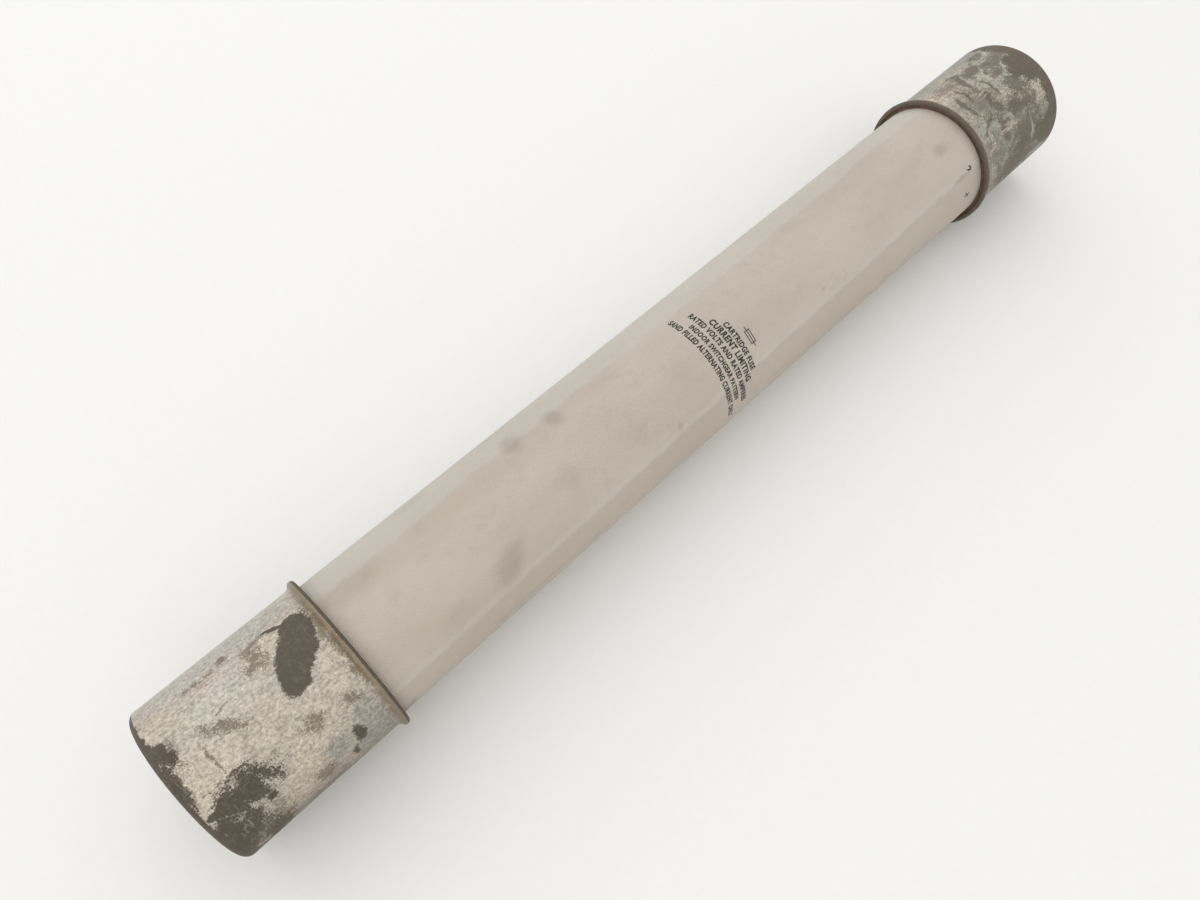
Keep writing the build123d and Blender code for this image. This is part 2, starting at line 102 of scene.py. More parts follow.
# ---------------------------------------------------------------- building node trees
class NodeSketch:
    """Short-hand for adding nodes to one shader tree.

    Args:
        tree: the node tree that the nodes go in.
    """

    def __init__(self, tree: bpy.types.NodeTree) -> None:
        self.tree = tree

    def add(self, kind: str, settings: dict | None = None, **inputs: object) -> bpy.types.Node:
        """Adds a node.

        Args:
            kind: the node's type.
            settings: attributes to set on the node.
            inputs: values or sockets for its inputs, with underscores for spaces in their names.

        Returns:
            The new node.
        """
        node = self.tree.nodes.new(kind)
        for name, value in (settings or {}).items():
            setattr(node, name, value)
        for name, value in inputs.items():
            self.feed(node.inputs[name.replace("_", " ")], value)
        return node

    def feed(self, socket: bpy.types.NodeSocket, value: object) -> None:
        """Links a socket to an input, or sets the input's own value.

        Args:
            socket: the input.
            value: a socket to link, or a plain value.
        """
        if isinstance(value, bpy.types.NodeSocket):
            self.tree.links.new(value, socket)
        else:
            socket.default_value = value

    def math(
        self, operation: str, first: object, second: object = 0.0, clamp: bool = False
    ) -> bpy.types.NodeSocket:
        """One arithmetic step on two numbers.

        Args:
            operation: the Math node's operation.
            first: a number or a socket.
            second: a number or a socket.
            clamp: whether the result is kept from 0 to 1.

        Returns:
            The result's socket.
        """
        node = self.add("ShaderNodeMath", {"operation": operation, "use_clamp": clamp})
        self.feed(node.inputs[0], first)
        self.feed(node.inputs[1], second)
        return node.outputs[0]

    def plus(self, first: object, second: object) -> bpy.types.NodeSocket:
        """The sum of two numbers."""
        return self.math("ADD", first, second)

    def minus(self, first: object, second: object) -> bpy.types.NodeSocket:
        """The first number less the second."""
        return self.math("SUBTRACT", first, second)

    def times(self, first: object, second: object) -> bpy.types.NodeSocket:
        """The product of two numbers."""
        return self.math("MULTIPLY", first, second)

    def over(self, first: object, second: object) -> bpy.types.NodeSocket:
        """The first number divided by the second."""
        return self.math("DIVIDE", first, second)

    def unsigned(self, value: object) -> bpy.types.NodeSocket:
        """A number without its sign."""
        return self.math("ABSOLUTE", value)

    def most(self, *values: object) -> bpy.types.NodeSocket:
        """The largest of several numbers.

        Args:
            values: numbers or sockets.

        Returns:
            The result's socket.
        """
        best = values[0]
        for value in values[1:]:
            best = self.math("MAXIMUM", best, value)
        return best

    def noise(
        self, place: object, scale: object, detail: float = 3.0, roughness: float = 0.55
    ) -> bpy.types.NodeSocket:
        """Cloudy noise from 0 to 1 at a place, in features per unit of that place.

        Args:
            place: the place's socket.
            scale: how many features fit in a unit.
            detail: how many finer layers are added.
            roughness: how strong the finer layers are.

        Returns:
            The noise's socket.
        """
        node = self.add("ShaderNodeTexNoise", Vector=place, Scale=scale, Detail=detail, Roughness=roughness)
        return node.outputs["Factor" if "Factor" in node.outputs else "Fac"]

    def step(self, value: object, low: float, high: float) -> bpy.types.NodeSocket:
        """Smooth step from 0 at low to 1 at high.

        Args:
            value: the number's socket.
            low: where the step starts.
            high: where it ends.

        Returns:
            The result's socket.
        """
        node = self.add("ShaderNodeMapRange", {"interpolation_type": "SMOOTHSTEP"}, Value=value)
        self.feed(node.inputs["From Min"], low)
        self.feed(node.inputs["From Max"], high)
        return node.outputs["Result"]

    def spread(self, value: object, low: float, high: float) -> bpy.types.NodeSocket:
        """A 0 to 1 value spread evenly from low to high.

        Args:
            value: the number's socket.
            low: the result for 0.
            high: the result for 1.

        Returns:
            The result's socket.
        """
        node = self.add("ShaderNodeMapRange", Value=value)
        self.feed(node.inputs["To Min"], low)
        self.feed(node.inputs["To Max"], high)
        return node.outputs["Result"]

    def mix(self, share: object, first: object, second: object, blend: str = "MIX") -> bpy.types.NodeSocket:
        """Two colours mixed by a share.

        Args:
            share: how much of the second colour there is.
            first: a colour or a socket.
            second: a colour or a socket.
            blend: the Mix node's way of blending.

        Returns:
            The colour's socket.
        """
        node = self.add("ShaderNodeMix", {"data_type": "RGBA", "blend_type": blend})
        self.feed(node.inputs[0], share)
        self.feed(node.inputs[6], rgba(first))
        self.feed(node.inputs[7], rgba(second))
        return node.outputs[2]

    def film(self, colour: object, film: object, mask: object, share: float) -> bpy.types.NodeSocket:
        """A colour with a film of another over it, where a mask is and as strong as a share."""
        return self.mix(self.times(mask, share), colour, film)

    def scaled(self, place: object, along: float, across_y: float, across_z: float) -> bpy.types.NodeSocket:
        """A place stretched by a factor along each axis."""
        node = self.add("ShaderNodeMapping", Vector=place, Scale=(along, across_y, across_z))
        return node.outputs[0]

    def object_place(self) -> bpy.types.NodeSocket:
        """The place on the object, in metres."""
        return self.add("ShaderNodeTexCoord").outputs["Object"]

    def group(self, tree: bpy.types.NodeTree, **inputs: object) -> bpy.types.Node:
        """Places a shared node group and feeds its inputs."""
        return self.add("ShaderNodeGroup", {"node_tree": tree}, **inputs)


def rgba(colour: object) -> object:
    """A colour with its alpha, or a socket as it is.

    Args:
        colour: three numbers, or a socket or plain value.

    Returns:
        The value to feed to a socket.
    """
    if isinstance(colour, tuple) and len(colour) == 3:
        return (*colour, 1.0)
    return colour


class EffectGroups:
    """Node groups for the effects that several finishes share, each made once."""

    def __init__(self) -> None:
        self.unrolled = self._make_unrolled()
        self.spot = self._make_spot()
        self.ragged = self._make_ragged()
        self.speckle = self._make_speckle()
        self.grain = self._make_grain()
        self.weave = self._make_weave()
        self.scuffs = self._make_scuffs()

    @staticmethod
    def _start(
        name: str, inputs: dict[str, float], outputs: list[str]
    ) -> tuple[NodeSketch, bpy.types.Node, bpy.types.Node]:
        """An empty group with its sockets.

        Args:
            name: the group's name.
            inputs: float inputs with their default values.
            outputs: names of the float outputs.

        Returns:
            The sketch, the group's input node and its output node.
        """
        tree = bpy.data.node_groups.new(name, "ShaderNodeTree")
        for label, value in inputs.items():
            socket = tree.interface.new_socket(label, in_out="INPUT", socket_type="NodeSocketFloat")
            socket.default_value = value
        for label in outputs:
            tree.interface.new_socket(label, in_out="OUTPUT", socket_type="NodeSocketFloat")
        sketch = NodeSketch(tree)
        return sketch, sketch.add("NodeGroupInput"), sketch.add("NodeGroupOutput")

    def _make_unrolled(self) -> bpy.types.NodeTree:
        """Place on the unrolled outside in millimetres, waved a little so that shapes look natural.

        Returns:
            The group's tree.
        """
        inputs = {"Radius": 38.0, "Waviness": 0.0}
        s, given, result = self._start("unrolled place", inputs, ["Along", "Round"])
        place = s.object_place()
        split = s.add("ShaderNodeSeparateXYZ", Vector=place)
        toward_minus_y = s.times(split.outputs["Y"], -1.0)
        angle = s.math("ARCTAN2", toward_minus_y, split.outputs["Z"])
        round_mm = s.times(angle, given.outputs["Radius"])
        along_mm = s.over(split.outputs["X"], MM)
        wave = s.add("ShaderNodeTexNoise", Vector=place, Scale=95.0, Detail=2.0)
        parts = s.add("ShaderNodeSeparateXYZ", Vector=wave.outputs["Color"])
        for label, base, part in (("Along", along_mm, "X"), ("Round", round_mm, "Y")):
            shift = s.times(s.minus(parts.outputs[part], 0.5), given.outputs["Waviness"])
            s.feed(result.inputs[label], s.plus(base, shift))
        return s.tree

    def _make_spot(self) -> bpy.types.NodeTree:
        """An oval on the unrolled surface: 1 at its middle, 0 at its edge, and negative outside.

        Returns:
            The group's tree.
        """
        inputs = {
            "Along": 0.0,
            "Round": 0.0,
            "Centre Along": 0.0,
            "Centre Round": 0.0,
            "Half Length": 10.0,
            "Half Width": 5.0,
            "Turn": 0.0,
        }
        s, given, result = self._start("oval spot", inputs, ["Field"])
        dx = s.minus(given.outputs["Along"], given.outputs["Centre Along"])
        dr = s.minus(given.outputs["Round"], given.outputs["Centre Round"])
        cos_turn = s.math("COSINE", given.outputs["Turn"])
        sin_turn = s.math("SINE", given.outputs["Turn"])
        long_way = s.plus(s.times(dx, cos_turn), s.times(dr, sin_turn))
        short_way = s.minus(s.times(dr, cos_turn), s.times(dx, sin_turn))
        long_share = s.over(long_way, given.outputs["Half Length"])
        short_share = s.over(short_way, given.outputs["Half Width"])
        long_square = s.times(long_share, long_share)
        short_square = s.times(short_share, short_share)
        away = s.math("SQRT", s.plus(long_square, short_square))
        s.feed(result.inputs["Field"], s.minus(1.0, away))
        return s.tree

    def _make_ragged(self) -> bpy.types.NodeTree:
        """Turns a field into a mask with a ragged, grainy outline.

        Returns:
            The group's tree.
        """
        inputs = {"Field": 0.0, "Wander": 0.3, "Grit": 0.25, "Softness": 0.06}
        s, given, result = self._start("ragged edge", inputs, ["Mask"])
        place = s.object_place()
        wander = s.minus(s.noise(place, 210.0, 3.0), 0.5)
        grit = s.minus(s.noise(place, 1300.0, 4.0, 0.7), 0.5)
        moved = s.plus(given.outputs["Field"], s.times(wander, given.outputs["Wander"]))
        moved = s.plus(moved, s.times(grit, given.outputs["Grit"]))
        low = s.times(given.outputs["Softness"], -1.0)
        s.feed(result.inputs["Mask"], s.step(moved, low, given.outputs["Softness"]))
        return s.tree

    def _make_speckle(self) -> bpy.types.NodeTree:
        """Fine dark grains, denser where the field is higher.

        Returns:
            The group's tree.
        """
        inputs = {"Field": 0.0, "Scale": 900.0, "Density": 0.5}
        s, given, result = self._start("speckle", inputs, ["Mask"])
        place = s.object_place()
        fine = s.noise(place, given.outputs["Scale"], 4.0, 0.75)
        clump = s.noise(place, 260.0, 2.0)
        level = s.plus(fine, s.times(given.outputs["Field"], given.outputs["Density"]))
        level = s.plus(level, s.times(s.minus(clump, 0.5), 0.35))
        s.feed(result.inputs["Mask"], s.step(level, 0.58, 0.7))
        return s.tree

    def _make_grain(self) -> bpy.types.NodeTree:
        """Rubbed metal: fine grain in two overlaid directions, for colour and for height.

        Returns:
            The group's tree.
        """
        inputs = {"Fineness": 1.0}
        s, given, result = self._start("rubbed grain", inputs, ["Tone", "Height"])
        place = s.object_place()
        size = s.times(given.outputs["Fineness"], 900.0)
        slanted = s.add("ShaderNodeMapping", Vector=place, Scale=(0.45, 1.0, 1.0), Rotation=(0.0, 0.5, 0.7))
        layers = []
        for moved in (place, slanted.outputs[0]):
            layers.append(s.noise(moved, size, 5.0, 0.75))
        both = s.plus(s.times(layers[0], 0.65), s.times(layers[1], 0.35))
        s.feed(result.inputs["Tone"], s.step(both, 0.34, 0.66))
        s.feed(result.inputs["Height"], both)
        return s.tree

    def _make_weave(self) -> bpy.types.NodeTree:
        """Plain weave of glass cloth on a tube: threads along it and round it.

        Returns:
            The group's tree.
        """
        inputs = {"Pitch": CLOTH_PITCH_MM, "Threads Round": CLOTH_THREADS_ROUND}
        s, given, result = self._start("glass cloth weave", inputs, ["Height", "Gap"])
        place = s.object_place()
        split = s.add("ShaderNodeSeparateXYZ", Vector=place)
        sway = s.times(s.minus(s.noise(place, 30.0, 2.0), 0.5), 5.0)
        along_mm = s.over(split.outputs["X"], MM)
        threads_along = s.times(s.over(along_mm, given.outputs["Pitch"]), math.pi)
        along = s.plus(threads_along, sway)
        angle = s.math("ARCTAN2", split.outputs["Y"], split.outputs["Z"])
        half_threads = s.over(given.outputs["Threads Round"], 2.0)
        around = s.plus(s.times(angle, half_threads), sway)
        warp = s.unsigned(s.math("SINE", along))
        weft = s.unsigned(s.math("SINE", around))
        over = s.times(s.math("SINE", along), s.math("SINE", around))
        side = s.step(over, -0.15, 0.15)
        other_side = s.minus(1.0, side)
        top = s.plus(s.times(warp, side), s.times(weft, other_side))
        s.feed(result.inputs["Height"], top)
        gap = s.times(s.minus(1.0, warp), s.minus(1.0, weft))
        s.feed(result.inputs["Gap"], s.step(gap, 0.15, 0.7))
        return s.tree

    def _make_scuffs(self) -> bpy.types.NodeTree:
        """Thin scratches in two directions.

        Returns:
            The group's tree.
        """
        inputs = {"Scale": 60.0, "Amount": 0.5}
        s, given, result = self._start("scuffs", inputs, ["Mask"])
        place = s.object_place()
        marks = []
        for number, stretch in enumerate(((1.0, 0.12, 0.12), (0.1, 1.0, 0.6))):
            turn = (0.3 * number, 0.2, 0.5 + number)
            moved = s.add("ShaderNodeMapping", Vector=place, Scale=stretch, Rotation=turn)
            line = s.noise(moved.outputs[0], given.outputs["Scale"], 6.0, 0.6)
            thin = s.unsigned(s.minus(line, 0.5))
            marks.append(s.minus(1.0, s.step(thin, 0.0, 0.012)))
        patchy = s.step(s.noise(place, 90.0, 3.0), 0.5, 0.62)
        both = s.times(s.most(*marks), patchy)
        s.feed(result.inputs["Mask"], s.math("MULTIPLY", both, given.outputs["Amount"], clamp=True))
        return s.tree


# ---------------------------------------------------------------- finishes
@dataclass(frozen=True)
class Spot:
    """An oval place on the unrolled outside, in millimetres, turned by degrees."""

    along: float
    round: float
    half_length: float
    half_width: float
    turn: float = 0.0


class Surface:
    """A new material with its shader and a sketch of its tree.

    Args:
        name: the material's name.
    """

    well_outside = 5.0

    def __init__(self, name: str) -> None:
        self.material = bpy.data.materials.new(name)
        self.material.use_nodes = True
        self.shader = self.material.node_tree.nodes["Principled BSDF"]
        self.sketch = NodeSketch(self.material.node_tree)

    def set(self, **inputs: object) -> None:
        """Sets or links inputs of the shader, with underscores for spaces in their names.

        Args:
            inputs: values or sockets by input.
        """
        for name, value in inputs.items():
            self.sketch.feed(self.shader.inputs[name.replace("_", " ")], rgba(value))

    def bump(
        self, height: object, depth_mm: float, strength: float = 1.0, under: object = None
    ) -> bpy.types.NodeSocket:
        """A normal from a height from 0 to 1, that is depth_mm deep.

        Args:
            height: the height's socket.
            depth_mm: how far apart 0 and 1 are.
            strength: how much of the bump shows.
            under: a normal that this one is laid on.

        Returns:
            The normal's socket.
        """
        node = self.sketch.add("ShaderNodeBump", Height=height, Distance=depth_mm * MM, Strength=strength)
        if under is not None:
            self.sketch.feed(node.inputs["Normal"], under)
        return node.outputs[0]

    def spots(
        self,
        groups: EffectGroups,
        place: bpy.types.Node,
        spots: tuple[Spot, ...],
        away: object = 0.0,
    ) -> bpy.types.NodeSocket:
        """The field of several ovals taken together.

        Args:
            groups: the shared effects.
            place: the placed unrolled-place group.
            spots: the ovals.
            away: 1 where no oval may show, such as on an end face.

        Returns:
            The field's socket.
        """
        fields = []
        for spot in spots:
            node = self.sketch.group(
                groups.spot,
                Along=place.outputs["Along"],
                Round=place.outputs["Round"],
                Centre_Along=spot.along,
                Centre_Round=spot.round,
                Half_Length=spot.half_length,
                Half_Width=spot.half_width,
                Turn=math.radians(spot.turn),
            )
            fields.append(node.outputs["Field"])
        return self.sketch.minus(self.sketch.most(*fields), self.sketch.times(away, self.well_outside))


@dataclass(frozen=True)
class Tint:
    """A thin coloured film on a few places of a surface."""

    colour: Colour
    strength: float
    spots: tuple[Spot, ...]


@dataclass(frozen=True)
class TarnishedSilver:
    """Silver plate on a ferrule: clouded, with brown sulphide patches of three kinds, and painted shade
    mixed with tarnish on the side towards the underside.

    Solid patches have a crisp ragged outline, mottled ones are broken by pale holes, and speckled
    ones are only a dusting of grains. Places are on the unrolled surface.
    """

    name: str
    end: End
    solid: tuple[Spot, ...]
    mottled: tuple[Spot, ...]
    speckled: tuple[Spot, ...]
    tints: tuple[Tint, ...]
    end_x: float
    rim_x: float
    radius: float
    end_band_mm: float
    rim_band_mm: float
    pale: Colour
    cool: Colour
    # colour of the painted shade mixed with tarnish towards the underside, also used for random mottle
    shade_and_tarnish: Colour
    shade_and_tarnish_from_mm: float
    shade_and_tarnish_to_mm: float
    top: Colour
    top_share: float = 0.6
    wander: float = 0.42
    grit: float = 0.65
    mottled_cover: float = 1.0
    mottled_depth: float = 0.8
    scratches: float = 0.3
    tarnish: Colour = (0.058, 0.046, 0.031)
    light_tarnish: Colour = (0.15, 0.12, 0.082)
    gold: Colour = (0.21, 0.155, 0.085)
    face_band_mm: float = 5.0
    lip_share: float = 0.34
    top_from_mm: float = -12.0
    top_to_mm: float = -34.0
    seen_middle_mm: float = 18.0
    stray_from_mm: float = 50.0
    stray_to_mm: float = 66.0

    def _base(
        self, surface: Surface, groups: EffectGroups, place: bpy.types.Node, face: object
    ) -> bpy.types.NodeSocket:
        """Colour of the plate before its patches.

        Args:
            surface: the material being made.
            groups: the shared effects.
            place: the placed unrolled-place group.
            face: 1 on the end face and 0 on the side.

        Returns:
            The colour's socket.
        """
        s = surface.sketch
        side = s.minus(1.0, face)
        grain = s.group(groups.grain, Fineness=0.8)
        here = s.object_place()
        cloud = s.step(s.noise(here, 42.0, 4.0, 0.6), 0.35, 0.65)
        mottle = s.step(s.noise(here, 150.0, 5.0, 0.65), 0.45, 0.75)
        colour = s.mix(cloud, self.pale, self.cool)
        colour = s.film(colour, self.shade_and_tarnish, mottle, 0.35)
        # painted shade mixed with tarnish: the side is darkened towards the underside
        shade_and_tarnish = s.step(place.outputs["Round"], self.shade_and_tarnish_from_mm, self.shade_and_tarnish_to_mm)
        colour = s.film(colour, self.shade_and_tarnish, s.times(shade_and_tarnish, side), 0.75)
        upper_side = s.step(place.outputs["Round"], self.top_from_mm, self.top_to_mm)
        upper_side = s.times(upper_side, side)
        colour = s.film(colour, self.top, upper_side, self.top_share)
        for tint in self.tints:
            field = surface.spots(groups, place, tint.spots, face)
            film = s.group(groups.ragged, Field=field, Wander=0.9, Grit=0.8, Softness=0.5)
            colour = s.film(colour, tint.colour, film.outputs["Mask"], tint.strength)
        value = s.spread(grain.outputs["Tone"], 0.55, 1.3)
        tone = s.add("ShaderNodeHueSaturation", Value=value, Color=colour)
        flecks = s.group(groups.speckle, Field=-0.25, Scale=1500.0, Density=0.3)
        return s.film(tone.outputs[0], self.light_tarnish, flecks.outputs["Mask"], 0.6)

    def _stray_patches(self, surface: Surface, place: bpy.types.Node, face: object) -> bpy.types.NodeSocket:
        """Field of clouded patches on the underside, the far side and the end face.

        Args:
            surface: the material being made.
            place: the placed unrolled-place group.
            face: 1 on the end face and 0 on the side.

        Returns:
            The field's socket.
        """
        s = surface.sketch
        cloud = s.times(s.minus(s.noise(s.object_place(), 55.0, 3.0), 0.56), 7.0)
        off_middle = s.unsigned(s.minus(place.outputs["Round"], self.seen_middle_mm))
        hidden = s.step(off_middle, self.stray_from_mm, self.stray_to_mm)
        there = s.math("MAXIMUM", hidden, face)
        elsewhere = s.times(s.minus(1.0, there), 4.0)
        return s.minus(cloud, elsewhere)

    def _end_corner(
        self, surface: Surface, split: bpy.types.Node, from_end_mm: object
    ) -> bpy.types.NodeSocket:
        """Field of the dark band round the end corner, on the side and on the face.

        Args:
            surface: the material being made.
            split: the place on the object, by axis.
            from_end_mm: how far in from the end it is.

        Returns:
            The field's socket.
        """
        s = surface.sketch
        y_square = s.times(split.outputs["Y"], split.outputs["Y"])
        z_square = s.times(split.outputs["Z"], split.outputs["Z"])
        from_axis = s.math("SQRT", s.plus(y_square, z_square))
        inside_mm = s.over(s.minus(self.radius, from_axis), MM)
        on_side = s.minus(1.0, s.over(from_end_mm, self.end_band_mm))
        on_face = s.minus(1.2, s.over(inside_mm, self.face_band_mm))
        return s.math("MINIMUM", on_side, on_face)

    def build(self, groups: EffectGroups) -> bpy.types.Material:
        """Makes the material.

        Args:
            groups: the shared effects.

        Returns:
            The material.
        """
        surface = Surface(self.name)
        s = surface.sketch
        place = s.group(groups.unrolled, Radius=self.radius / MM, Waviness=9.0)
        split = s.add("ShaderNodeSeparateXYZ", Vector=s.object_place())
        outwards = s.times(split.outputs["X"], float(self.end.value))
        from_end_mm = s.over(s.minus(self.end_x, outwards), MM)
        from_rim_mm = s.over(s.minus(outwards, self.rim_x), MM)
        face = s.step(from_end_mm, 0.9, 0.2)
        colour = self._base(surface, groups, place, face)

        field = surface.spots(groups, place, self.speckled, face)
        speckle = s.group(groups.speckle, Field=s.math("MAXIMUM", field, -0.7), Scale=1300.0, Density=0.3)
        colour = s.film(colour, self.light_tarnish, speckle.outputs["Mask"], 0.8)

        field = s.minus(1.0, s.over(from_rim_mm, self.rim_band_mm))
        rim = s.group(groups.ragged, Field=field, Wander=1.2, Grit=0.9, Softness=0.4)
        colour = s.film(colour, self.gold, rim.outputs["Mask"], 0.85)

        field = surface.spots(groups, place, self.mottled, face)
        broken = s.minus(s.times(s.math("MAXIMUM", field, -1.0), self.mottled_depth), 0.12)
        stray = self._stray_patches(surface, place, face)
        mottled = s.group(groups.ragged, Field=s.most(broken, stray), Wander=1.5, Grit=1.9, Softness=0.16)
        end_field = self._end_corner(surface, split, from_end_mm)
        lip_field = s.minus(1.0, s.over(from_rim_mm, self.rim_band_mm * self.lip_share))
        lip_field = s.times(lip_field, 1.2)
        field = s.most(surface.spots(groups, place, self.solid, face), end_field, lip_field)
        solid = s.group(groups.ragged, Field=field, Wander=self.wander, Grit=self.grit, Softness=0.08)
        thinner = s.times(mottled.outputs["Mask"], self.mottled_cover)
        cover = s.math("MAXIMUM", s.times(solid.outputs["Mask"], 0.96), thinner)

        grain = s.group(groups.grain, Fineness=1.1)
        here = s.object_place()
        worn = s.times(s.step(s.noise(here, 420.0, 4.0, 0.7), 0.48, 0.68), 0.45)
        brown = s.mix(worn, self.tarnish, self.light_tarnish)
        brown = s.film(brown, self.light_tarnish, grain.outputs["Tone"], 0.2)
        colour = s.mix(cover, colour, brown)

        scuffs = s.group(groups.scuffs, Scale=75.0, Amount=self.scratches)
        bare = s.times(scuffs.outputs["Mask"], s.spread(solid.outputs["Mask"], 1.0, 0.1))
        colour = s.mix(bare, colour, self.pale)
        metallic = s.spread(cover, 0.5, 0.05)
        rough = s.plus(s.spread(cover, 0.44, 0.68), s.spread(grain.outputs["Tone"], -0.07, 0.07))
        crust = s.minus(grain.outputs["Height"], s.times(cover, 0.3))
        normal = surface.bump(crust, 0.05, 0.6)
        normal = surface.bump(s.noise(here, 150.0, 4.0, 0.6), 0.2, 0.3, normal)
        surface.set(Base_Color=colour, Metallic=metallic, Roughness=rough, Normal=normal)
        return surface.material


@dataclass(frozen=True)
class GlassCloth:
    """Matte wound glass cloth and resin on the barrel, with handling smudges, a painted reflection along
    the top, and painted shade below the edge of the last wrap under a thin painted highlight.
    """

    name: str
    radius: float
    smudges: tuple[Spot, ...]
    faint: tuple[Spot, ...]
    body: Colour = (0.505, 0.443, 0.375)
    pale: Colour = (0.56, 0.498, 0.43)
    # darker colour of random blotches, also the painted shade below the edge of the last wrap
    blotch_and_shade: Colour = (0.445, 0.388, 0.328)
    dirt: Colour = (0.25, 0.205, 0.16)
    # colour of the painted reflection along the top and of the painted highlight above the edge of the last
    # wrap
    painted_highlight: Colour = (0.58, 0.56, 0.515)
    # where the painted reflection along the top ends, measured round from the top
    highlight_edge_mm: float = -12.5

    def build(self, groups: EffectGroups) -> bpy.types.Material:
        """Makes the material.

        Args:
            groups: the shared effects.

        Returns:
            The material.
        """
        surface = Surface(self.name)
        s = surface.sketch
        here = s.object_place()
        place = s.group(groups.unrolled, Radius=self.radius / MM, Waviness=4.0)
        weave = s.group(groups.weave)
        cloud = s.noise(s.scaled(here, 0.35, 1.0, 1.0), 26.0, 4.0, 0.6)
        blotch = s.noise(here, 75.0, 4.0, 0.6)
        colour = s.mix(s.step(cloud, 0.35, 0.65), self.body, self.pale)
        colour = s.film(colour, self.blotch_and_shade, s.step(blotch, 0.5, 0.75), 0.4)

        sway_noise = s.noise(s.scaled(here, 1.0, 0.05, 0.05), 9.0, 3.0)
        sway = s.times(s.minus(sway_noise, 0.5), 14.0)
        # A lighter band along the top: painted reflection of the light.
        upper_edge = s.plus(s.minus(place.outputs["Round"], self.highlight_edge_mm), sway)
        upper_band = s.step(upper_edge, 1.6, -1.6)
        colour = s.film(colour, self.painted_highlight, upper_band, 0.5)
        # Below the edge of the last wrap the cloth is darkened: painted shade.
        slant = s.times(place.outputs["Along"], WRAP_SLANT)
        lower_edge = s.plus(s.minus(place.outputs["Round"], WRAP_EDGE_MM), slant)
        lower_edge = s.plus(lower_edge, s.times(sway, 0.2))
        lower_band = s.step(lower_edge, -1.0, 1.0)
        colour = s.film(colour, self.blotch_and_shade, lower_band, 0.45)
        # A thin light line just above the edge of the last wrap: painted highlight of the step.
        beside = s.unsigned(s.plus(lower_edge, 2.2))
        line = s.minus(1.0, s.step(beside, 0.2, 3.2))
        colour = s.film(colour, self.painted_highlight, line, 0.35)

        field = surface.spots(groups, place, self.faint)
        faint = s.group(groups.ragged, Field=field, Wander=0.9, Grit=0.3, Softness=0.6)
        colour = s.film(colour, self.dirt, faint.outputs["Mask"], 0.14)
        field = surface.spots(groups, place, self.smudges)
        smudge = s.group(groups.ragged, Field=field, Wander=0.9, Grit=0.9, Softness=0.6)
        colour = s.film(colour, self.dirt, smudge.outputs["Mask"], 0.34)
        colour = s.film(colour, self.dirt, weave.outputs["Gap"], 0.8)

        normal = surface.bump(weave.outputs["Height"], 0.14, 1.0)
        normal = surface.bump(cloud, 0.5, 0.3, normal)
        surface.set(Base_Color=colour, Roughness=s.spread(blotch, 0.55, 0.8), Normal=normal)
        surface.set(Specular_IOR_Level=0.35)
        return surface.material


@dataclass(frozen=True)
class PrintingInk:
    """Black ink stamped on glass cloth, thin in patches and in the gaps of the weave."""

    name: str
    black: Colour = (0.016, 0.015, 0.014)
    worn: Colour = (0.11, 0.10, 0.085)

    def build(self, groups: EffectGroups) -> bpy.types.Material:
        """Makes the material from the shared effects.

        Args:
            groups: the shared effects.

        Returns:
            The material.
        """
        surface = Surface(self.name)
        s = surface.sketch
        weave = s.group(groups.weave)
        patchy = s.noise(s.object_place(), 700.0, 4.0, 0.7)
        thin = s.times(s.step(patchy, 0.5, 0.75), 0.6)
        thin = s.math("ADD", thin, s.times(weave.outputs["Gap"], 0.25), clamp=True)
        colour = s.mix(thin, self.black, self.worn)
        normal = surface.bump(weave.outputs["Height"], 0.03, 0.4)
        surface.set(Base_Color=colour, Roughness=s.spread(patchy, 0.55, 0.8), Normal=normal)
        return surface.material


@dataclass(frozen=True)
class WorkedMetal:
    """Turned, stamped or drawn metal with its grain and a little tarnish."""

    name: str
    colour: Colour
    worn: Colour
    roughness: float = 0.35
    metallic: float = 1.0
    fineness: float = 1.2

    def build(self, groups: EffectGroups) -> bpy.types.Material:
        """Makes the material from the shared effects.

        Args:
            groups: the shared effects.

        Returns:
            The material.
        """
        surface = Surface(self.name)
        s = surface.sketch
        place = s.object_place()
        grain = s.group(groups.grain, Fineness=self.fineness)
        scuffs = s.group(groups.scuffs, Scale=120.0, Amount=0.4)
        cloud = s.step(s.noise(place, 120.0, 4.0, 0.6), 0.4, 0.7)
        colour = s.film(self.colour, self.worn, cloud, 0.7)
        colour = s.film(colour, self.worn, grain.outputs["Tone"], 0.2)
        low, high = self.roughness - 0.08, self.roughness + 0.15
        rough = s.plus(s.spread(cloud, low, high), s.times(scuffs.outputs["Mask"], 0.1))
        normal = surface.bump(grain.outputs["Height"], 0.02, 0.6)
        surface.set(Base_Color=colour, Roughness=rough, Normal=normal, Metallic=self.metallic)
        return surface.material


@dataclass(frozen=True)
class Enamel:
    """Paint on metal: nearly even, with fine ripple and worn specks."""

    name: str
    colour: Colour
    worn: Colour

    def build(self, groups: EffectGroups) -> bpy.types.Material:
        """Makes the material from the shared effects.

        Args:
            groups: the shared effects.

        Returns:
            The material.
        """
        surface = Surface(self.name)
        s = surface.sketch
        place = s.object_place()
        ripple = s.noise(place, 500.0, 3.0)
        chips = s.group(groups.speckle, Field=-0.2, Scale=1500.0, Density=0.5)
        colour = s.film(self.colour, self.worn, s.step(ripple, 0.4, 0.7), 0.3)
        colour = s.film(colour, self.worn, chips.outputs["Mask"], 0.5)
        normal = surface.bump(ripple, 0.02, 0.5)
        surface.set(Base_Color=colour, Roughness=s.spread(ripple, 0.28, 0.45), Normal=normal)
        return surface.material


class Texture(Enum):
    """The make-up of a finish that is not metal or cloth."""

    LAYERED = "layered"
    GRANULAR = "granular"
    FIBROUS = "fibrous"
    SMOOTH = "smooth"


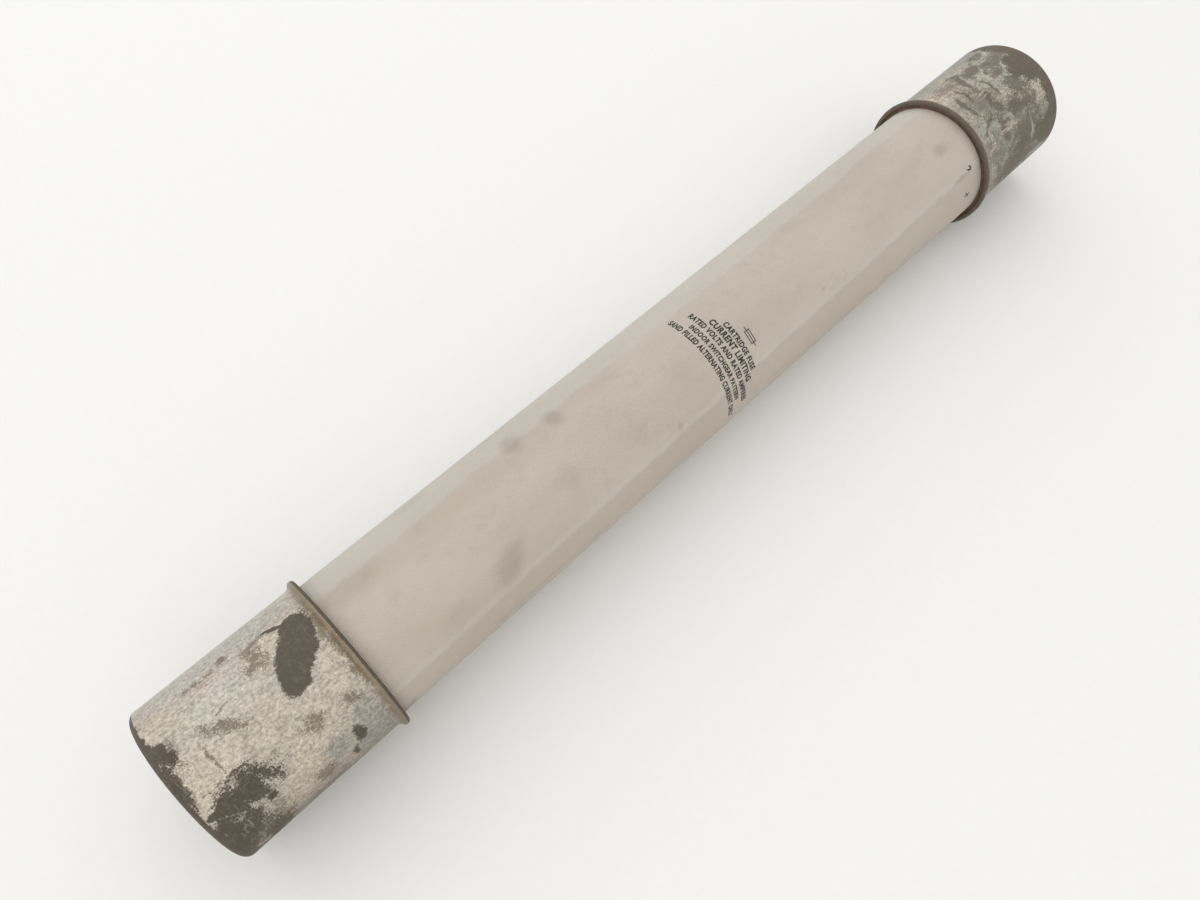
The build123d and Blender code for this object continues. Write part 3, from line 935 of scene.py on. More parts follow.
@dataclass(frozen=True)
class Bulk:
    """A non-metal: two colours mottled together with a texture of its own."""

    name: str
    texture: Texture
    light: Colour
    dark: Colour
    roughness: float = 0.75

    def build(self, groups: EffectGroups) -> bpy.types.Material:
        """Makes the material from the shared effects.

        Args:
            groups: the shared effects.

        Returns:
            The material.
        """
        surface = Surface(self.name)
        s = surface.sketch
        place = s.object_place()
        if self.texture is Texture.GRANULAR:
            cell = s.add("ShaderNodeTexVoronoi", Vector=place, Scale=1400.0)
            height = cell.outputs["Distance"]
            depth = 0.25
        elif self.texture is Texture.LAYERED:
            height = s.noise(s.scaled(place, 0.2, 0.2, 1.0), 900.0, 5.0, 0.7)
            depth = 0.05
        elif self.texture is Texture.FIBROUS:
            height = s.noise(s.scaled(place, 0.3, 1.0, 1.0), 1800.0, 6.0, 0.75)
            depth = 0.15
        else:
            height = s.noise(place, 260.0, 4.0, 0.55)
            depth = 0.06
        speckle = s.group(groups.speckle, Field=0.0, Scale=1300.0, Density=0.5)
        colour = s.mix(s.step(height, 0.3, 0.7), self.dark, self.light)
        colour = s.film(colour, self.dark, speckle.outputs["Mask"], 0.35)
        rough = s.spread(height, self.roughness - 0.1, min(self.roughness + 0.12, 1.0))
        surface.set(Base_Color=colour, Roughness=rough, Normal=surface.bump(height, depth, 0.6))
        return surface.material


# ---------------------------------------------------------------- mesh tools
def deselect_all() -> None:
    """Leaves nothing selected, in object mode."""
    if bpy.context.mode != "OBJECT":
        bpy.ops.object.mode_set(mode="OBJECT")
    bpy.ops.object.select_all(action="DESELECT")


def dress(piece: bpy.types.Object, material: bpy.types.Material) -> None:
    """Gives a piece one material.

    Args:
        piece: the piece.
        material: its finish.
    """
    piece.data.materials.clear()
    piece.data.materials.append(material)


def dress_node(node: bpy.types.Object, material: bpy.types.Material) -> None:
    """Gives a CAD node another material, in the slot that it has.

    Args:
        node: the node's object.
        material: its finish.
    """
    if not node.material_slots:
        node.data.materials.append(material)
    for holder in node.material_slots:
        holder.material = material


def settle(piece: bpy.types.Object, name: str, body: str) -> None:
    """Names a finished piece, rides it on a body and logs it.

    Args:
        piece: the piece, with its place in its mesh.
        name: the piece's name.
        body: the CAD body that it moves with.
    """
    piece.name = name
    piece.data.name = name
    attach(piece, body)
    LOG.info("%s: %d faces, on body %s", name, len(piece.data.polygons), body)


def apply_modifier(piece: bpy.types.Object, kind: str, settings: dict[str, object]) -> None:
    """Adds a modifier to a piece and applies it.

    Args:
        piece: the piece.
        kind: the modifier's type.
        settings: attributes to set on the modifier first.
    """
    deselect_all()
    piece.select_set(True)
    bpy.context.view_layer.objects.active = piece
    modifier = piece.modifiers.new(kind.lower(), kind)
    for name, value in settings.items():
        setattr(modifier, name, value)
    bpy.ops.object.modifier_apply(modifier=modifier.name)


@dataclass(frozen=True)
class Corner:
    """A corner of a turned profile: its X, its distance from the axis, and how far it is rounded."""

    x: float
    r: float
    rounding: float = 0.0


class Lathe:
    """Turns a closed profile about X: a section is drawn, its corners are rounded, and it is spun.

    Args:
        corners: the profile's corners in order, all on one side of the axis.
    """

    arc_steps = 8
    snap = 1e-6
    smooth_below = math.radians(40)

    def __init__(self, corners: list[Corner]) -> None:
        self.corners = corners
        self.piece: bpy.types.Object | None = None

    def turn(self, steps: int, longest_edge: float) -> bpy.types.Object:
        """Makes the body.

        Args:
            steps: how many sides a full turn has.
            longest_edge: edges of the profile longer than this are divided.

        Returns:
            The new object, closed, with its faces outwards.
        """
        self._draw_section()
        for corner in self.corners:
            if corner.rounding > 0:
                self._round(corner)
        self._open_section()
        self._divide(longest_edge)
        bpy.ops.mesh.select_all(action="SELECT")
        bpy.ops.mesh.spin(steps=steps, angle=2 * math.pi, center=(0, 0, 0), axis=(1, 0, 0))
        bpy.ops.mesh.select_all(action="SELECT")
        bpy.ops.mesh.remove_doubles(threshold=self.snap)
        bpy.ops.mesh.normals_make_consistent(inside=False)
        bpy.ops.object.mode_set(mode="OBJECT")
        bpy.ops.object.shade_smooth_by_angle(angle=self.smooth_below)
        return self.piece

    def _draw_section(self) -> None:
        """Draws the section as one face in the XZ plane, in edit mode."""
        deselect_all()
        bpy.ops.mesh.primitive_plane_add(size=MM)
        self.piece = bpy.context.active_object
        bpy.ops.object.mode_set(mode="EDIT")
        bpy.ops.mesh.select_mode(type="VERT")
        bpy.ops.mesh.select_all(action="SELECT")
        bpy.ops.mesh.merge(type="CENTER")
        first = self.corners[0]
        bpy.ops.transform.translate(value=(first.x, 0, first.r))
        for here, there in zip(self.corners, self.corners[1:]):
            move = {"value": (there.x - here.x, 0, there.r - here.r)}
            bpy.ops.mesh.extrude_vertices_move(TRANSFORM_OT_translate=move)
        bpy.ops.mesh.select_all(action="SELECT")
        bpy.ops.mesh.edge_face_add()

    def _select_vertices(self, wanted: Callable[[Vector], bool]) -> None:
        """Selects vertices of the section by their place, in edit mode.

        Args:
            wanted: says of a place whether its vertex is selected.
        """
        bpy.ops.mesh.select_mode(type="VERT")
        bpy.ops.mesh.select_all(action="DESELECT")
        bpy.ops.object.mode_set(mode="OBJECT")
        for vertex in self.piece.data.vertices:
            vertex.select = wanted(vertex.co)
        bpy.ops.object.mode_set(mode="EDIT")

    def _round(self, corner: Corner) -> None:
        """Rounds one corner of the section.

        Args:
            corner: one of the profile's corners.
        """
        place = Vector((corner.x, 0, corner.r))
        index = self.corners.index(corner)
        before = self.corners[index - 1]
        after = self.corners[(index + 1) % len(self.corners)]
        way_in = place - Vector((before.x, 0, before.r))
        way_out = Vector((after.x, 0, after.r)) - place
        tangent = corner.rounding * math.tan(way_in.angle(way_out) / 2)
        self._select_vertices(lambda co: (co - place).length < self.snap)
        bpy.ops.mesh.bevel(offset=tangent, segments=self.arc_steps, affect="VERTICES")

    def _open_section(self) -> None:
        """Takes away the section's face, and its edge on the axis if it has one."""
        bpy.ops.mesh.select_all(action="SELECT")
        bpy.ops.mesh.delete(type="ONLY_FACE")
        on_axis = [corner for corner in self.corners if corner.r < self.snap]
        if len(on_axis) > 1:
            self._select_vertices(lambda co: co.z < self.snap)
            bpy.ops.mesh.select_mode(type="EDGE")
            bpy.ops.mesh.delete(type="EDGE")

    def _divide(self, longest_edge: float) -> None:
        """Divides each long edge of the section.

        Args:
            longest_edge: edges longer than this are divided.
        """
        bpy.ops.mesh.select_mode(type="EDGE")
        bpy.ops.object.mode_set(mode="OBJECT")
        mesh = self.piece.data
        lengths = {}
        for edge in mesh.edges:
            ends = [mesh.vertices[index].co.copy() for index in edge.vertices]
            cuts = math.ceil((ends[1] - ends[0]).length / longest_edge) - 1
            if cuts > 0:
                lengths[tuple(tuple(end) for end in ends)] = cuts
        for ends, cuts in lengths.items():
            for edge in mesh.edges:
                here = tuple(tuple(mesh.vertices[index].co) for index in edge.vertices)
                edge.select = here == ends
            for vertex in mesh.vertices:
                vertex.select = tuple(vertex.co) in ends
            bpy.ops.object.mode_set(mode="EDIT")
            bpy.ops.mesh.subdivide(number_cuts=cuts)
            bpy.ops.object.mode_set(mode="OBJECT")
        bpy.ops.object.mode_set(mode="EDIT")


@dataclass(frozen=True)
class Unevenness:
    """Small random rise and fall of a surface."""

    name: str
    feature_size: float
    height: float

    def press_into(self, piece: bpy.types.Object, group: str = "") -> None:
        """Moves the piece's surface in and out, in a vertex group or all over.

        Args:
            piece: the piece.
            group: the vertex group's name, or nothing for all over.
        """
        texture = bpy.data.textures.new(self.name, "CLOUDS")
        texture.noise_scale = self.feature_size
        texture.noise_depth = 2
        settings = {"texture": texture, "texture_coords": "LOCAL", "strength": self.height}
        if group:
            settings["vertex_group"] = group
        apply_modifier(piece, "DISPLACE", settings)


def weigh(piece: bpy.types.Object, name: str, weight: Callable[[Vector], float]) -> None:
    """Makes a vertex group whose weights follow from each vertex's place.

    Args:
        piece: the piece.
        name: the group's name.
        weight: gives the weight at a place.
    """
    group = piece.vertex_groups.new(name=name)
    for vertex in piece.data.vertices:
        share = weight(vertex.co)
        if share > 0:
            group.add([vertex.index], share, "REPLACE")


def ramp(value: float, low: float, high: float) -> float:
    """Smooth step from 0 at low to 1 at high.

    Args:
        value: a number.
        low: where the step starts.
        high: where it ends.

    Returns:
        The share, from 0 to 1.
    """
    share = min(max((value - low) / (high - low), 0.0), 1.0)
    return share * share * (3 - 2 * share)


# ---------------------------------------------------------------- the fuse's pieces
@dataclass
class FerruleShell:
    """A drawn silver-plated cup with rounded end corner and flared mouth, for one end."""

    end: End
    node: str
    body_radius: float
    hole_radius: float
    wall: float = 1.6 * MM
    corner_rounding: float = 3.5 * MM
    crown_width: float = 2.6 * MM
    slope_width: float = 1.8 * MM
    fillet: float = 2.4 * MM
    crown_rounding: float = 1.4 * MM
    mouth_depth: float = 3.0 * MM
    mouth_rise: float = 1.8 * MM
    mouth_rounding: float = 0.4 * MM
    sides: int = 288
    row_spacing: float = 1.6 * MM
    dents: Unevenness = Unevenness("handling dents", 0.022, 0.28 * MM)
    dents_start: float = 0.006
    dents_full: float = 0.014
    dents_fade: float = 0.012
    nicks: Unevenness = Unevenness("rim nicks", 0.006, 0.22 * MM)
    nicks_start: float = 0.0004

    def span(self) -> tuple[float, float]:
        """How far the mouth and the outer end are from the middle of the fuse.

        Returns:
            The mouth's distance and the outer end's.
        """
        low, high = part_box(self.node)
        mouth, outer = sorted((abs(low.x), abs(high.x)))
        return mouth, outer

    def corners(self) -> list[Corner]:
        """The cup's section, from the hole in its end face round the outside to the bore.

        Returns:
            The section's corners in order.
        """
        mouth, outer = self.span()
        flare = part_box(self.node)[1].z
        bore = self.body_radius - self.wall
        crown = mouth + self.crown_width
        inner_corner = self.corner_rounding - self.wall
        outline = [
            (outer, self.hole_radius, 0.0),
            (outer, self.body_radius, self.corner_rounding),
            (crown + self.slope_width, self.body_radius, self.fillet),
            (crown, flare, self.crown_rounding),
            (mouth, flare, self.crown_rounding),
            (mouth, bore + self.mouth_rise, self.mouth_rounding),
            (mouth + self.mouth_depth, bore, 0.0),
            (outer - self.wall, bore, inner_corner),
            (outer - self.wall, self.hole_radius, 0.0),
        ]
        return [Corner(self.end.value * x, r, rounding) for x, r, rounding in outline]

    def build(self, silver: bpy.types.Material) -> bpy.types.Object:
        """Makes and dresses the cup.

        Args:
            silver: the cup's finish.

        Returns:
            The cup.
        """
        piece = Lathe(self.corners()).turn(self.sides, self.row_spacing)
        half_wall = self.body_radius - self.wall / 2
        mouth, outer = self.span()

        def on_body(co: Vector) -> float:
            """Weight of the cylinder's outside, fading out before both ends."""
            outside = math.hypot(co.y, co.z) > half_wall
            rise = ramp(abs(co.x) - mouth, self.dents_start, self.dents_full)
            return rise * ramp(outer - abs(co.x), 0.0, self.dents_fade) if outside else 0.0

        def on_rim(co: Vector) -> float:
            """Weight of the flared rim's outside."""
            outside = math.hypot(co.y, co.z) > self.body_radius
            return 1.0 if outside and abs(co.x) - mouth > self.nicks_start else 0.0

        weigh(piece, "body", on_body)
        weigh(piece, "rim", on_rim)
        self.dents.press_into(piece, "body")
        self.nicks.press_into(piece, "rim")
        dress(piece, silver)
        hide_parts(self.node)
        settle(piece, f"{self.node}_shell", "fuse")
        return piece


@dataclass
class BarrelTube:
    """Wound tube of glass cloth and resin, with the step where its last wrap ends."""

    wall: float = 4.4 * MM
    chamfer: float = 0.5 * MM
    sides: int = 360
    row_spacing: float = 5.0 * MM
    wrap_step: float = 0.22 * MM
    wrap_edge_softness_mm: float = 0.7
    wrap_fade_mm: tuple[float, float] = (15.0, 50.0)
    ripple: Unevenness = Unevenness("winding ripple", 0.03, 0.16 * MM)
    ripple_end: float = 0.226
    ripple_fade: float = 0.01

    def build(self, cloth: bpy.types.Material) -> bpy.types.Object:
        """Makes and dresses the tube.

        Args:
            cloth: the tube's finish.

        Returns:
            The tube.
        """
        low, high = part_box("barrel")
        outside = high.z
        bore = outside - self.wall
        corners = [
            Corner(low.x, bore),
            Corner(low.x, outside - self.chamfer),
            Corner(low.x + self.chamfer, outside),
            Corner(high.x - self.chamfer, outside),
            Corner(high.x, outside - self.chamfer),
            Corner(high.x, bore),
        ]
        piece = Lathe(corners).turn(self.sides, self.row_spacing)

        def outer_skin(co: Vector) -> float:
            """Weight of the part of the skin that shows between the ferrules."""
            on_skin = math.hypot(co.y, co.z) > outside - MM / 2
            return ramp(self.ripple_end - abs(co.x), 0.0, self.ripple_fade) if on_skin else 0.0

        def past_wrap_edge(co: Vector) -> float:
            """Weight of the skin below the edge of the last wrap."""
            round_mm = math.atan2(-co.y, co.z) * outside / MM
            past_mm = round_mm - WRAP_EDGE_MM + WRAP_SLANT * co.x / MM
            begun = ramp(past_mm, -self.wrap_edge_softness_mm, self.wrap_edge_softness_mm)
            return begun * (1 - ramp(past_mm, *self.wrap_fade_mm)) * outer_skin(co)

        weigh(piece, "skin", outer_skin)
        weigh(piece, "wrap", past_wrap_edge)
        self.ripple.press_into(piece, "skin")
        step = {"strength": -self.wrap_step, "mid_level": 0.0, "vertex_group": "wrap"}
        apply_modifier(piece, "DISPLACE", step)
        dress(piece, cloth)
        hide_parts("barrel")
        settle(piece, "barrel_tube", "fuse")
        return piece


@dataclass(frozen=True)
class LegendLine:
    """One printed line that reads round the barrel, in millimetres on the unrolled surface."""

    words: str
    base: float
    height: float
    start: float
    stop: float


@dataclass
class Legend:
    """Stamped lettering on the barrel, a fuse symbol over it, and two small inspection marks.

    Places of lines, symbol and marks are in millimetres on the unrolled surface.
    """

    ink: bpy.types.Material
    under: bpy.types.Object
    radius: float
    thickness: float = 0.1 * MM
    boldness: float = 0.042
    letter_spacing: float = 1.12
    slant: float = 0.12
    curve_steps: int = 3
    symbol_place_mm: tuple[float, float] = (23.5, 20.8)
    symbol_size_mm: tuple[float, float] = (7.6, 3.4)
    symbol_stroke_mm: float = 0.5
    symbol_line_share: float = 1.5
    lines: tuple[LegendLine, ...] = (
        LegendLine("CARTRIDGE FUSE", 12.3, 3.5, 10.0, 39.0),
        LegendLine("CURRENT LIMITING", 7.5, 4.0, 4.5, 43.0),
        LegendLine("RATED VOLTS AND RATED AMPERES", 2.8, 3.5, -5.0, 53.0),
        LegendLine("INDOOR SWITCHGEAR PATTERN", -2.0, 3.2, 0.0, 48.0),
        LegendLine("SAND FILLED ALTERNATING CURRENT ONLY", -7.0, 3.5, -9.5, 57.0),
    )
    marks: tuple[tuple[str, LegendLine, float], ...] = (
        ("inspection_mark_a", LegendLine("2", 205.6, 4.2, 31.2, 34.6), 25.0),
        ("inspection_mark_b", LegendLine("X", 202.0, 4.2, 46.2, 49.6), -20.0),
    )

    def build(self) -> None:
        """Makes and dresses each line and mark."""
        for number, line in enumerate(self.lines, start=1):
            self._stamp(self._letters(line), f"legend_line_{number}")
        self._stamp(self._fuse_symbol(), "fuse_symbol")
        for name, line, turn in self.marks:
            mark = self._letters(line)
            self._turn_in_place(mark, turn)
            self._stamp(mark, name)

    def _letters(self, line: LegendLine) -> bpy.types.Object:
        """Flat bold letters of a line, lying in the XY plane with X running round the barrel.

        Args:
            line: the words and their place.

        Returns:
            The flat letters, as a mesh.
        """
        deselect_all()
        bpy.ops.object.text_add()
        text = bpy.context.active_object
        text.data.body = line.words
        text.data.offset = self.boldness
        text.data.space_character = self.letter_spacing
        text.data.shear = self.slant
        text.data.resolution_u = self.curve_steps
        bpy.ops.object.convert(target="MESH")
        piece = bpy.context.active_object
        corners = [Vector(corner) for corner in piece.bound_box]
        wanted = ((line.start, line.stop - line.start), (line.base, line.height))
        for axis, (start, length) in enumerate(wanted):
            low = min(corner[axis] for corner in corners)
            high = max(corner[axis] for corner in corners)
            stretch = length * MM / (high - low)
            for vertex in piece.data.vertices:
                vertex.co[axis] = start * MM + (vertex.co[axis] - low) * stretch
        return piece

    def _turn_in_place(self, piece: bpy.types.Object, degrees: float) -> None:
        """Turns a flat mark about its own middle.

        Args:
            piece: the mark.
            degrees: how far it is turned.
        """
        places = [vertex.co for vertex in piece.data.vertices]
        middle = sum(places, Vector()) / len(places)
        turn = Matrix.Rotation(math.radians(degrees), 3, "Z")
        for vertex in piece.data.vertices:
            vertex.co = middle + turn @ (vertex.co - middle)

    def _fuse_symbol(self) -> bpy.types.Object:
        """The usual fuse symbol: a rectangle with a line through it, flat in the XY plane.

        Returns:
            The flat symbol.
        """
        centre = Vector((*self.symbol_place_mm, 0)) * MM
        length, width = (size * MM for size in self.symbol_size_mm)
        stroke = self.symbol_stroke_mm * MM
        deselect_all()
        bpy.ops.mesh.primitive_plane_add(size=1.0, location=centre)
        piece = bpy.context.active_object
        piece.scale = (length, width, 1.0)
        bpy.ops.object.transform_apply(location=True, rotation=False, scale=True)
        bpy.ops.object.mode_set(mode="EDIT")
        bpy.ops.mesh.select_all(action="SELECT")
        bpy.ops.mesh.inset(thickness=stroke)
        bpy.ops.mesh.delete(type="FACE")
        bpy.ops.mesh.primitive_plane_add(size=1.0, location=centre)
        line = (length * self.symbol_line_share, stroke, 1.0)
        bpy.ops.transform.resize(value=line, center_override=centre)
        bpy.ops.mesh.select_all(action="SELECT")
        bpy.ops.mesh.subdivide(number_cuts=3)
        bpy.ops.object.mode_set(mode="OBJECT")
        return piece

    def _stamp(self, piece: bpy.types.Object, name: str) -> None:
        """Rolls a flat piece round the barrel, gives it the ink's thickness and finishes it.

        Args:
            piece: the flat piece.
            name: its name when finished.
        """
        lift = self.radius + self.thickness / 2
        for vertex in piece.data.vertices:
            angle = vertex.co.x / self.radius
            along = vertex.co.y
            vertex.co = Vector((along, -lift * math.sin(angle), lift * math.cos(angle)))
        cling = {"target": self.under, "wrap_method": "NEAREST_SURFACEPOINT", "wrap_mode": "ABOVE_SURFACE"}
        apply_modifier(piece, "SHRINKWRAP", {**cling, "offset": self.thickness / 2})
        apply_modifier(piece, "SOLIDIFY", {"thickness": self.thickness, "offset": -1.0})
        dress(piece, self.ink)
        settle(piece, name, "fuse")


@dataclass
class InnerWorks:
    """Finishes of the pieces inside, and of the cement between the barrel and the ferrules."""

    nodes: dict[str, bpy.types.Object]

    def dress(self, groups: EffectGroups) -> None:
        """Gives each carried-over CAD node its material.

        Args:
            groups: the shared effects.
        """
        brass = WorkedMetal("turned brass", (0.62, 0.42, 0.16), (0.38, 0.25, 0.10), 0.3)
        copper = WorkedMetal("half-hard copper", (0.62, 0.29, 0.17), (0.36, 0.17, 0.10), 0.32)
        ribbon = WorkedMetal("silver ribbon", (0.80, 0.78, 0.73), (0.62, 0.59, 0.52), 0.25)
        spring = WorkedMetal("spring steel", (0.30, 0.30, 0.30), (0.18, 0.17, 0.16), 0.35)
        wire = WorkedMetal("trip wire", (0.55, 0.54, 0.52), (0.35, 0.34, 0.32), 0.3)
        zinc = WorkedMetal("zinc-plated steel", (0.60, 0.61, 0.60), (0.42, 0.42, 0.38), 0.35)
        tin = WorkedMetal("tin alloy", (0.58, 0.57, 0.54), (0.40, 0.39, 0.36), 0.4)
        red = Enamel("indicator red", (0.45, 0.025, 0.02), (0.28, 0.04, 0.03))
        mica = Bulk("bonded mica", Texture.LAYERED, (0.42, 0.33, 0.20), (0.24, 0.17, 0.10), 0.5)
        felt = Bulk("ceramic felt", Texture.FIBROUS, (0.72, 0.70, 0.64), (0.55, 0.52, 0.46), 0.9)
        sand = Bulk("quartz sand", Texture.GRANULAR, (0.66, 0.60, 0.50), (0.38, 0.33, 0.26), 0.7)
        cement = Bulk("aged cement", Texture.SMOOTH, (0.13, 0.066, 0.04), (0.045, 0.025, 0.018), 0.6)
        worn_by = {
            brass: "lower_end_plate upper_end_plate fill_plug indicator_housing spring_seat wire_anchor",
            copper: "lower_terminal upper_terminal strap_rivets "
            "lower_strap_a lower_strap_b upper_strap_a upper_strap_b",
            ribbon: "element_1 element_2 element_3 element_4",
            spring: "indicator_spring",
            wire: "indicator_wire",
            zinc: "strap_screws",
            tin: "melting_pads",
            red: "indicator_plunger",
            mica: "spider_board_a spider_board_b",
            felt: "lower_felt_ring upper_felt_ring",
            sand: "sand_fill",
            cement: "lower_cement upper_cement",
        }
        for finish, names in worn_by.items():
            material = finish.build(groups)
            for name in names.split():
                dress_node(self.nodes[name], material)
                LOG.info("%s: dressed in %s", name, finish.name)


# ---------------------------------------------------------------- studio
@dataclass
class Studio:
    """Plain pale table, soft lights and the camera."""

    floor_z: float
    card_size: float = 6.0
    light_size: float = 2.4
    camera_place: tuple[float, float, float] = (-0.23307, -0.17191, 0.39507)
    camera_aim: tuple[float, float, float] = (-0.06694, -0.00396, 0.0)
    lens_mm: float = 27.684
    film_width_mm: float = 36.0
    sky_colour: Colour = (1.0, 0.995, 0.985)
    sky_strength: float = 0.98
    card_light: Colour = (0.815, 0.812, 0.80)
    card_dark: Colour = (0.80, 0.80, 0.785)

    def build(self) -> None:
        """Makes the floor, the lights and the camera."""
        self._floor()
        self._soft_light("window light", Vector((0.3, 1.4, 1.6)), 9.0)
        self._soft_light("room light", Vector((-1.0, -0.9, 1.5)), 5.0)
        world = bpy.data.worlds.new("studio")
        bpy.context.scene.world = world
        world.use_nodes = True
        sky = world.node_tree.nodes["Background"]
        sky.inputs["Color"].default_value = rgba(self.sky_colour)
        sky.inputs["Strength"].default_value = self.sky_strength
        bpy.context.scene.view_settings.view_transform = "Standard"
        self._camera()

    def _floor(self) -> None:
        """A sheet of white card under the fuse."""
        deselect_all()
        bpy.ops.mesh.primitive_plane_add(size=self.card_size, location=(0, 0, self.floor_z))
        card = bpy.context.active_object
        bpy.ops.object.transform_apply(location=True)
        card.name = "white_card"
        surface = Surface("white card")
        s = surface.sketch
        tooth = s.noise(s.object_place(), 300.0, 4.0, 0.6)
        tone = s.mix(s.step(tooth, 0.3, 0.7), self.card_dark, self.card_light)
        normal = surface.bump(tooth, 0.02, 0.2)
        surface.set(Base_Color=tone, Roughness=s.spread(tooth, 0.8, 0.9), Normal=normal)
        dress(card, surface.material)
        card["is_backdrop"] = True

    def _soft_light(self, name: str, place: Vector, power: float) -> None:
        """A large square light that points at the middle of the fuse.

        Args:
            name: the light's name.
            place: where it stands.
            power: how strong it is, in watts.
        """
        bpy.ops.object.light_add(type="AREA", location=place)
        light = bpy.context.active_object
        light.name = name
        light.data.size = self.light_size
        light.data.energy = power
        light.rotation_euler = (-place).to_track_quat("-Z", "Y").to_euler()

    def _camera(self) -> None:
        """The camera, upright, at the viewing angle."""
        bpy.ops.object.camera_add(location=self.camera_place)
        camera = bpy.context.active_object
        aim = Vector(self.camera_aim) - Vector(self.camera_place)
        camera.rotation_euler = aim.to_track_quat("-Z", "Y").to_euler()
        camera.data.lens = self.lens_mm
        camera.data.sensor_width = self.film_width_mm
        camera.data.clip_start = 0.01
        bpy.context.scene.camera = camera


# ---------------------------------------------------------------- finishes of this fuse
def lower_silver(end_x: float, rim_x: float, radius: float) -> TarnishedSilver:
    """Finish of the lower ferrule: pale, with one big crisp patch and a mottled corner.

    Args:
        end_x: how far the outer end is from the fuse's middle.
        rim_x: how far the mouth is from the fuse's middle.
        radius: the cylinder's radius.

    Returns:
        The finish.
    """
    return TarnishedSilver(
        name="tarnished silver, lower",
        end=End.LOWER,
        solid=(
            Spot(-229.5, -7.0, 7.4, 8.0),
            Spot(-228.5, -2.0, 5.6, 9.0, 20.0),
            Spot(-234.0, -1.0, 11.0, 8.6, -52.0),
            Spot(-238.0, 5.5, 13.0, 7.2, -52.0),
            Spot(-241.8, 10.8, 7.0, 5.6),
            Spot(-237.0, -14.6, 6.0, 1.0, 8.0),
            Spot(-297.0, -2.0, 4.6, 5.0, 20.0),
            Spot(-299.0, -12.0, 3.0, 11.0),
            Spot(-300.0, 50.0, 4.0, 30.0),
            Spot(-292.0, 29.0, 5.5, 2.4, -8.0),
        ),
        mottled=(
            Spot(-283.0, 32.0, 18.0, 9.5),
            Spot(-280.0, 29.0, 11.0, 7.0),
            Spot(-280.0, 34.0, 12.0, 4.0, -10.0),
            Spot(-292.0, 45.0, 14.0, 13.0, 60.0),
            Spot(-275.0, 42.5, 3.6, 3.0, 40.0),
            Spot(-281.0, 62.0, 7.0, 9.0),
            Spot(-237.2, 47.0, 2.2, 5.4, 10.0),
            Spot(-241.5, 55.0, 1.6, 3.6, 8.0),
            Spot(-294.0, 3.0, 5.0, 5.0),
            Spot(-296.0, 56.0, 9.0, 20.0),
            Spot(-297.5, 14.0, 3.0, 14.0),
        ),
        speckled=(
            Spot(-251.0, -6.0, 8.0, 8.0),
            Spot(-247.5, -10.0, 5.0, 9.0, -30.0),
            Spot(-246.0, -14.5, 8.0, 3.0),
            Spot(-246.0, 28.0, 9.0, 5.0),
            Spot(-229.5, 31.0, 5.5, 6.0),
            Spot(-255.0, 53.0, 9.0, 9.0),
            Spot(-272.0, 6.0, 14.0, 4.0, 36.0),
            Spot(-281.0, 13.0, 1.0, 11.0),
            Spot(-291.0, 2.0, 4.0, 12.0),
            Spot(-284.0, 54.0, 18.0, 14.0),
            Spot(-270.0, -18.5, 9.0, 2.6, 3.0),
            Spot(-259.5, -19.0, 4.5, 2.8),
            Spot(-270.0, 0.5, 7.0, 0.9, -4.0),
            Spot(-222.0, 5.0, 3.4, 40.0),
            Spot(-262.0, 66.0, 40.0, 8.0),
        ),
        tints=(
            Tint((0.27, 0.265, 0.24), 0.6, (Spot(-230.0, 48.0, 8.0, 15.0), Spot(-246.0, 44.0, 6.0, 5.0))),
            Tint((0.53, 0.42, 0.38), 0.45, (Spot(-293.0, -22.0, 5.0, 4.0), Spot(-265.0, -12.0, 10.0, 5.0))),
            Tint((0.47, 0.46, 0.42), 0.5, (Spot(-268.0, -2.0, 16.0, 12.0), Spot(-262.0, -24.0, 30.0, 8.0))),
        ),
        end_x=end_x,
        rim_x=rim_x,
        radius=radius,
        end_band_mm=2.6,
        rim_band_mm=4.2,
        pale=(0.55, 0.48, 0.385),
        cool=(0.455, 0.42, 0.355),
        # painted shade mixed with tarnish towards the underside
        shade_and_tarnish=(0.23, 0.195, 0.15),
        shade_and_tarnish_from_mm=40.0,
        shade_and_tarnish_to_mm=66.0,
        top=(0.46, 0.44, 0.40),
    )


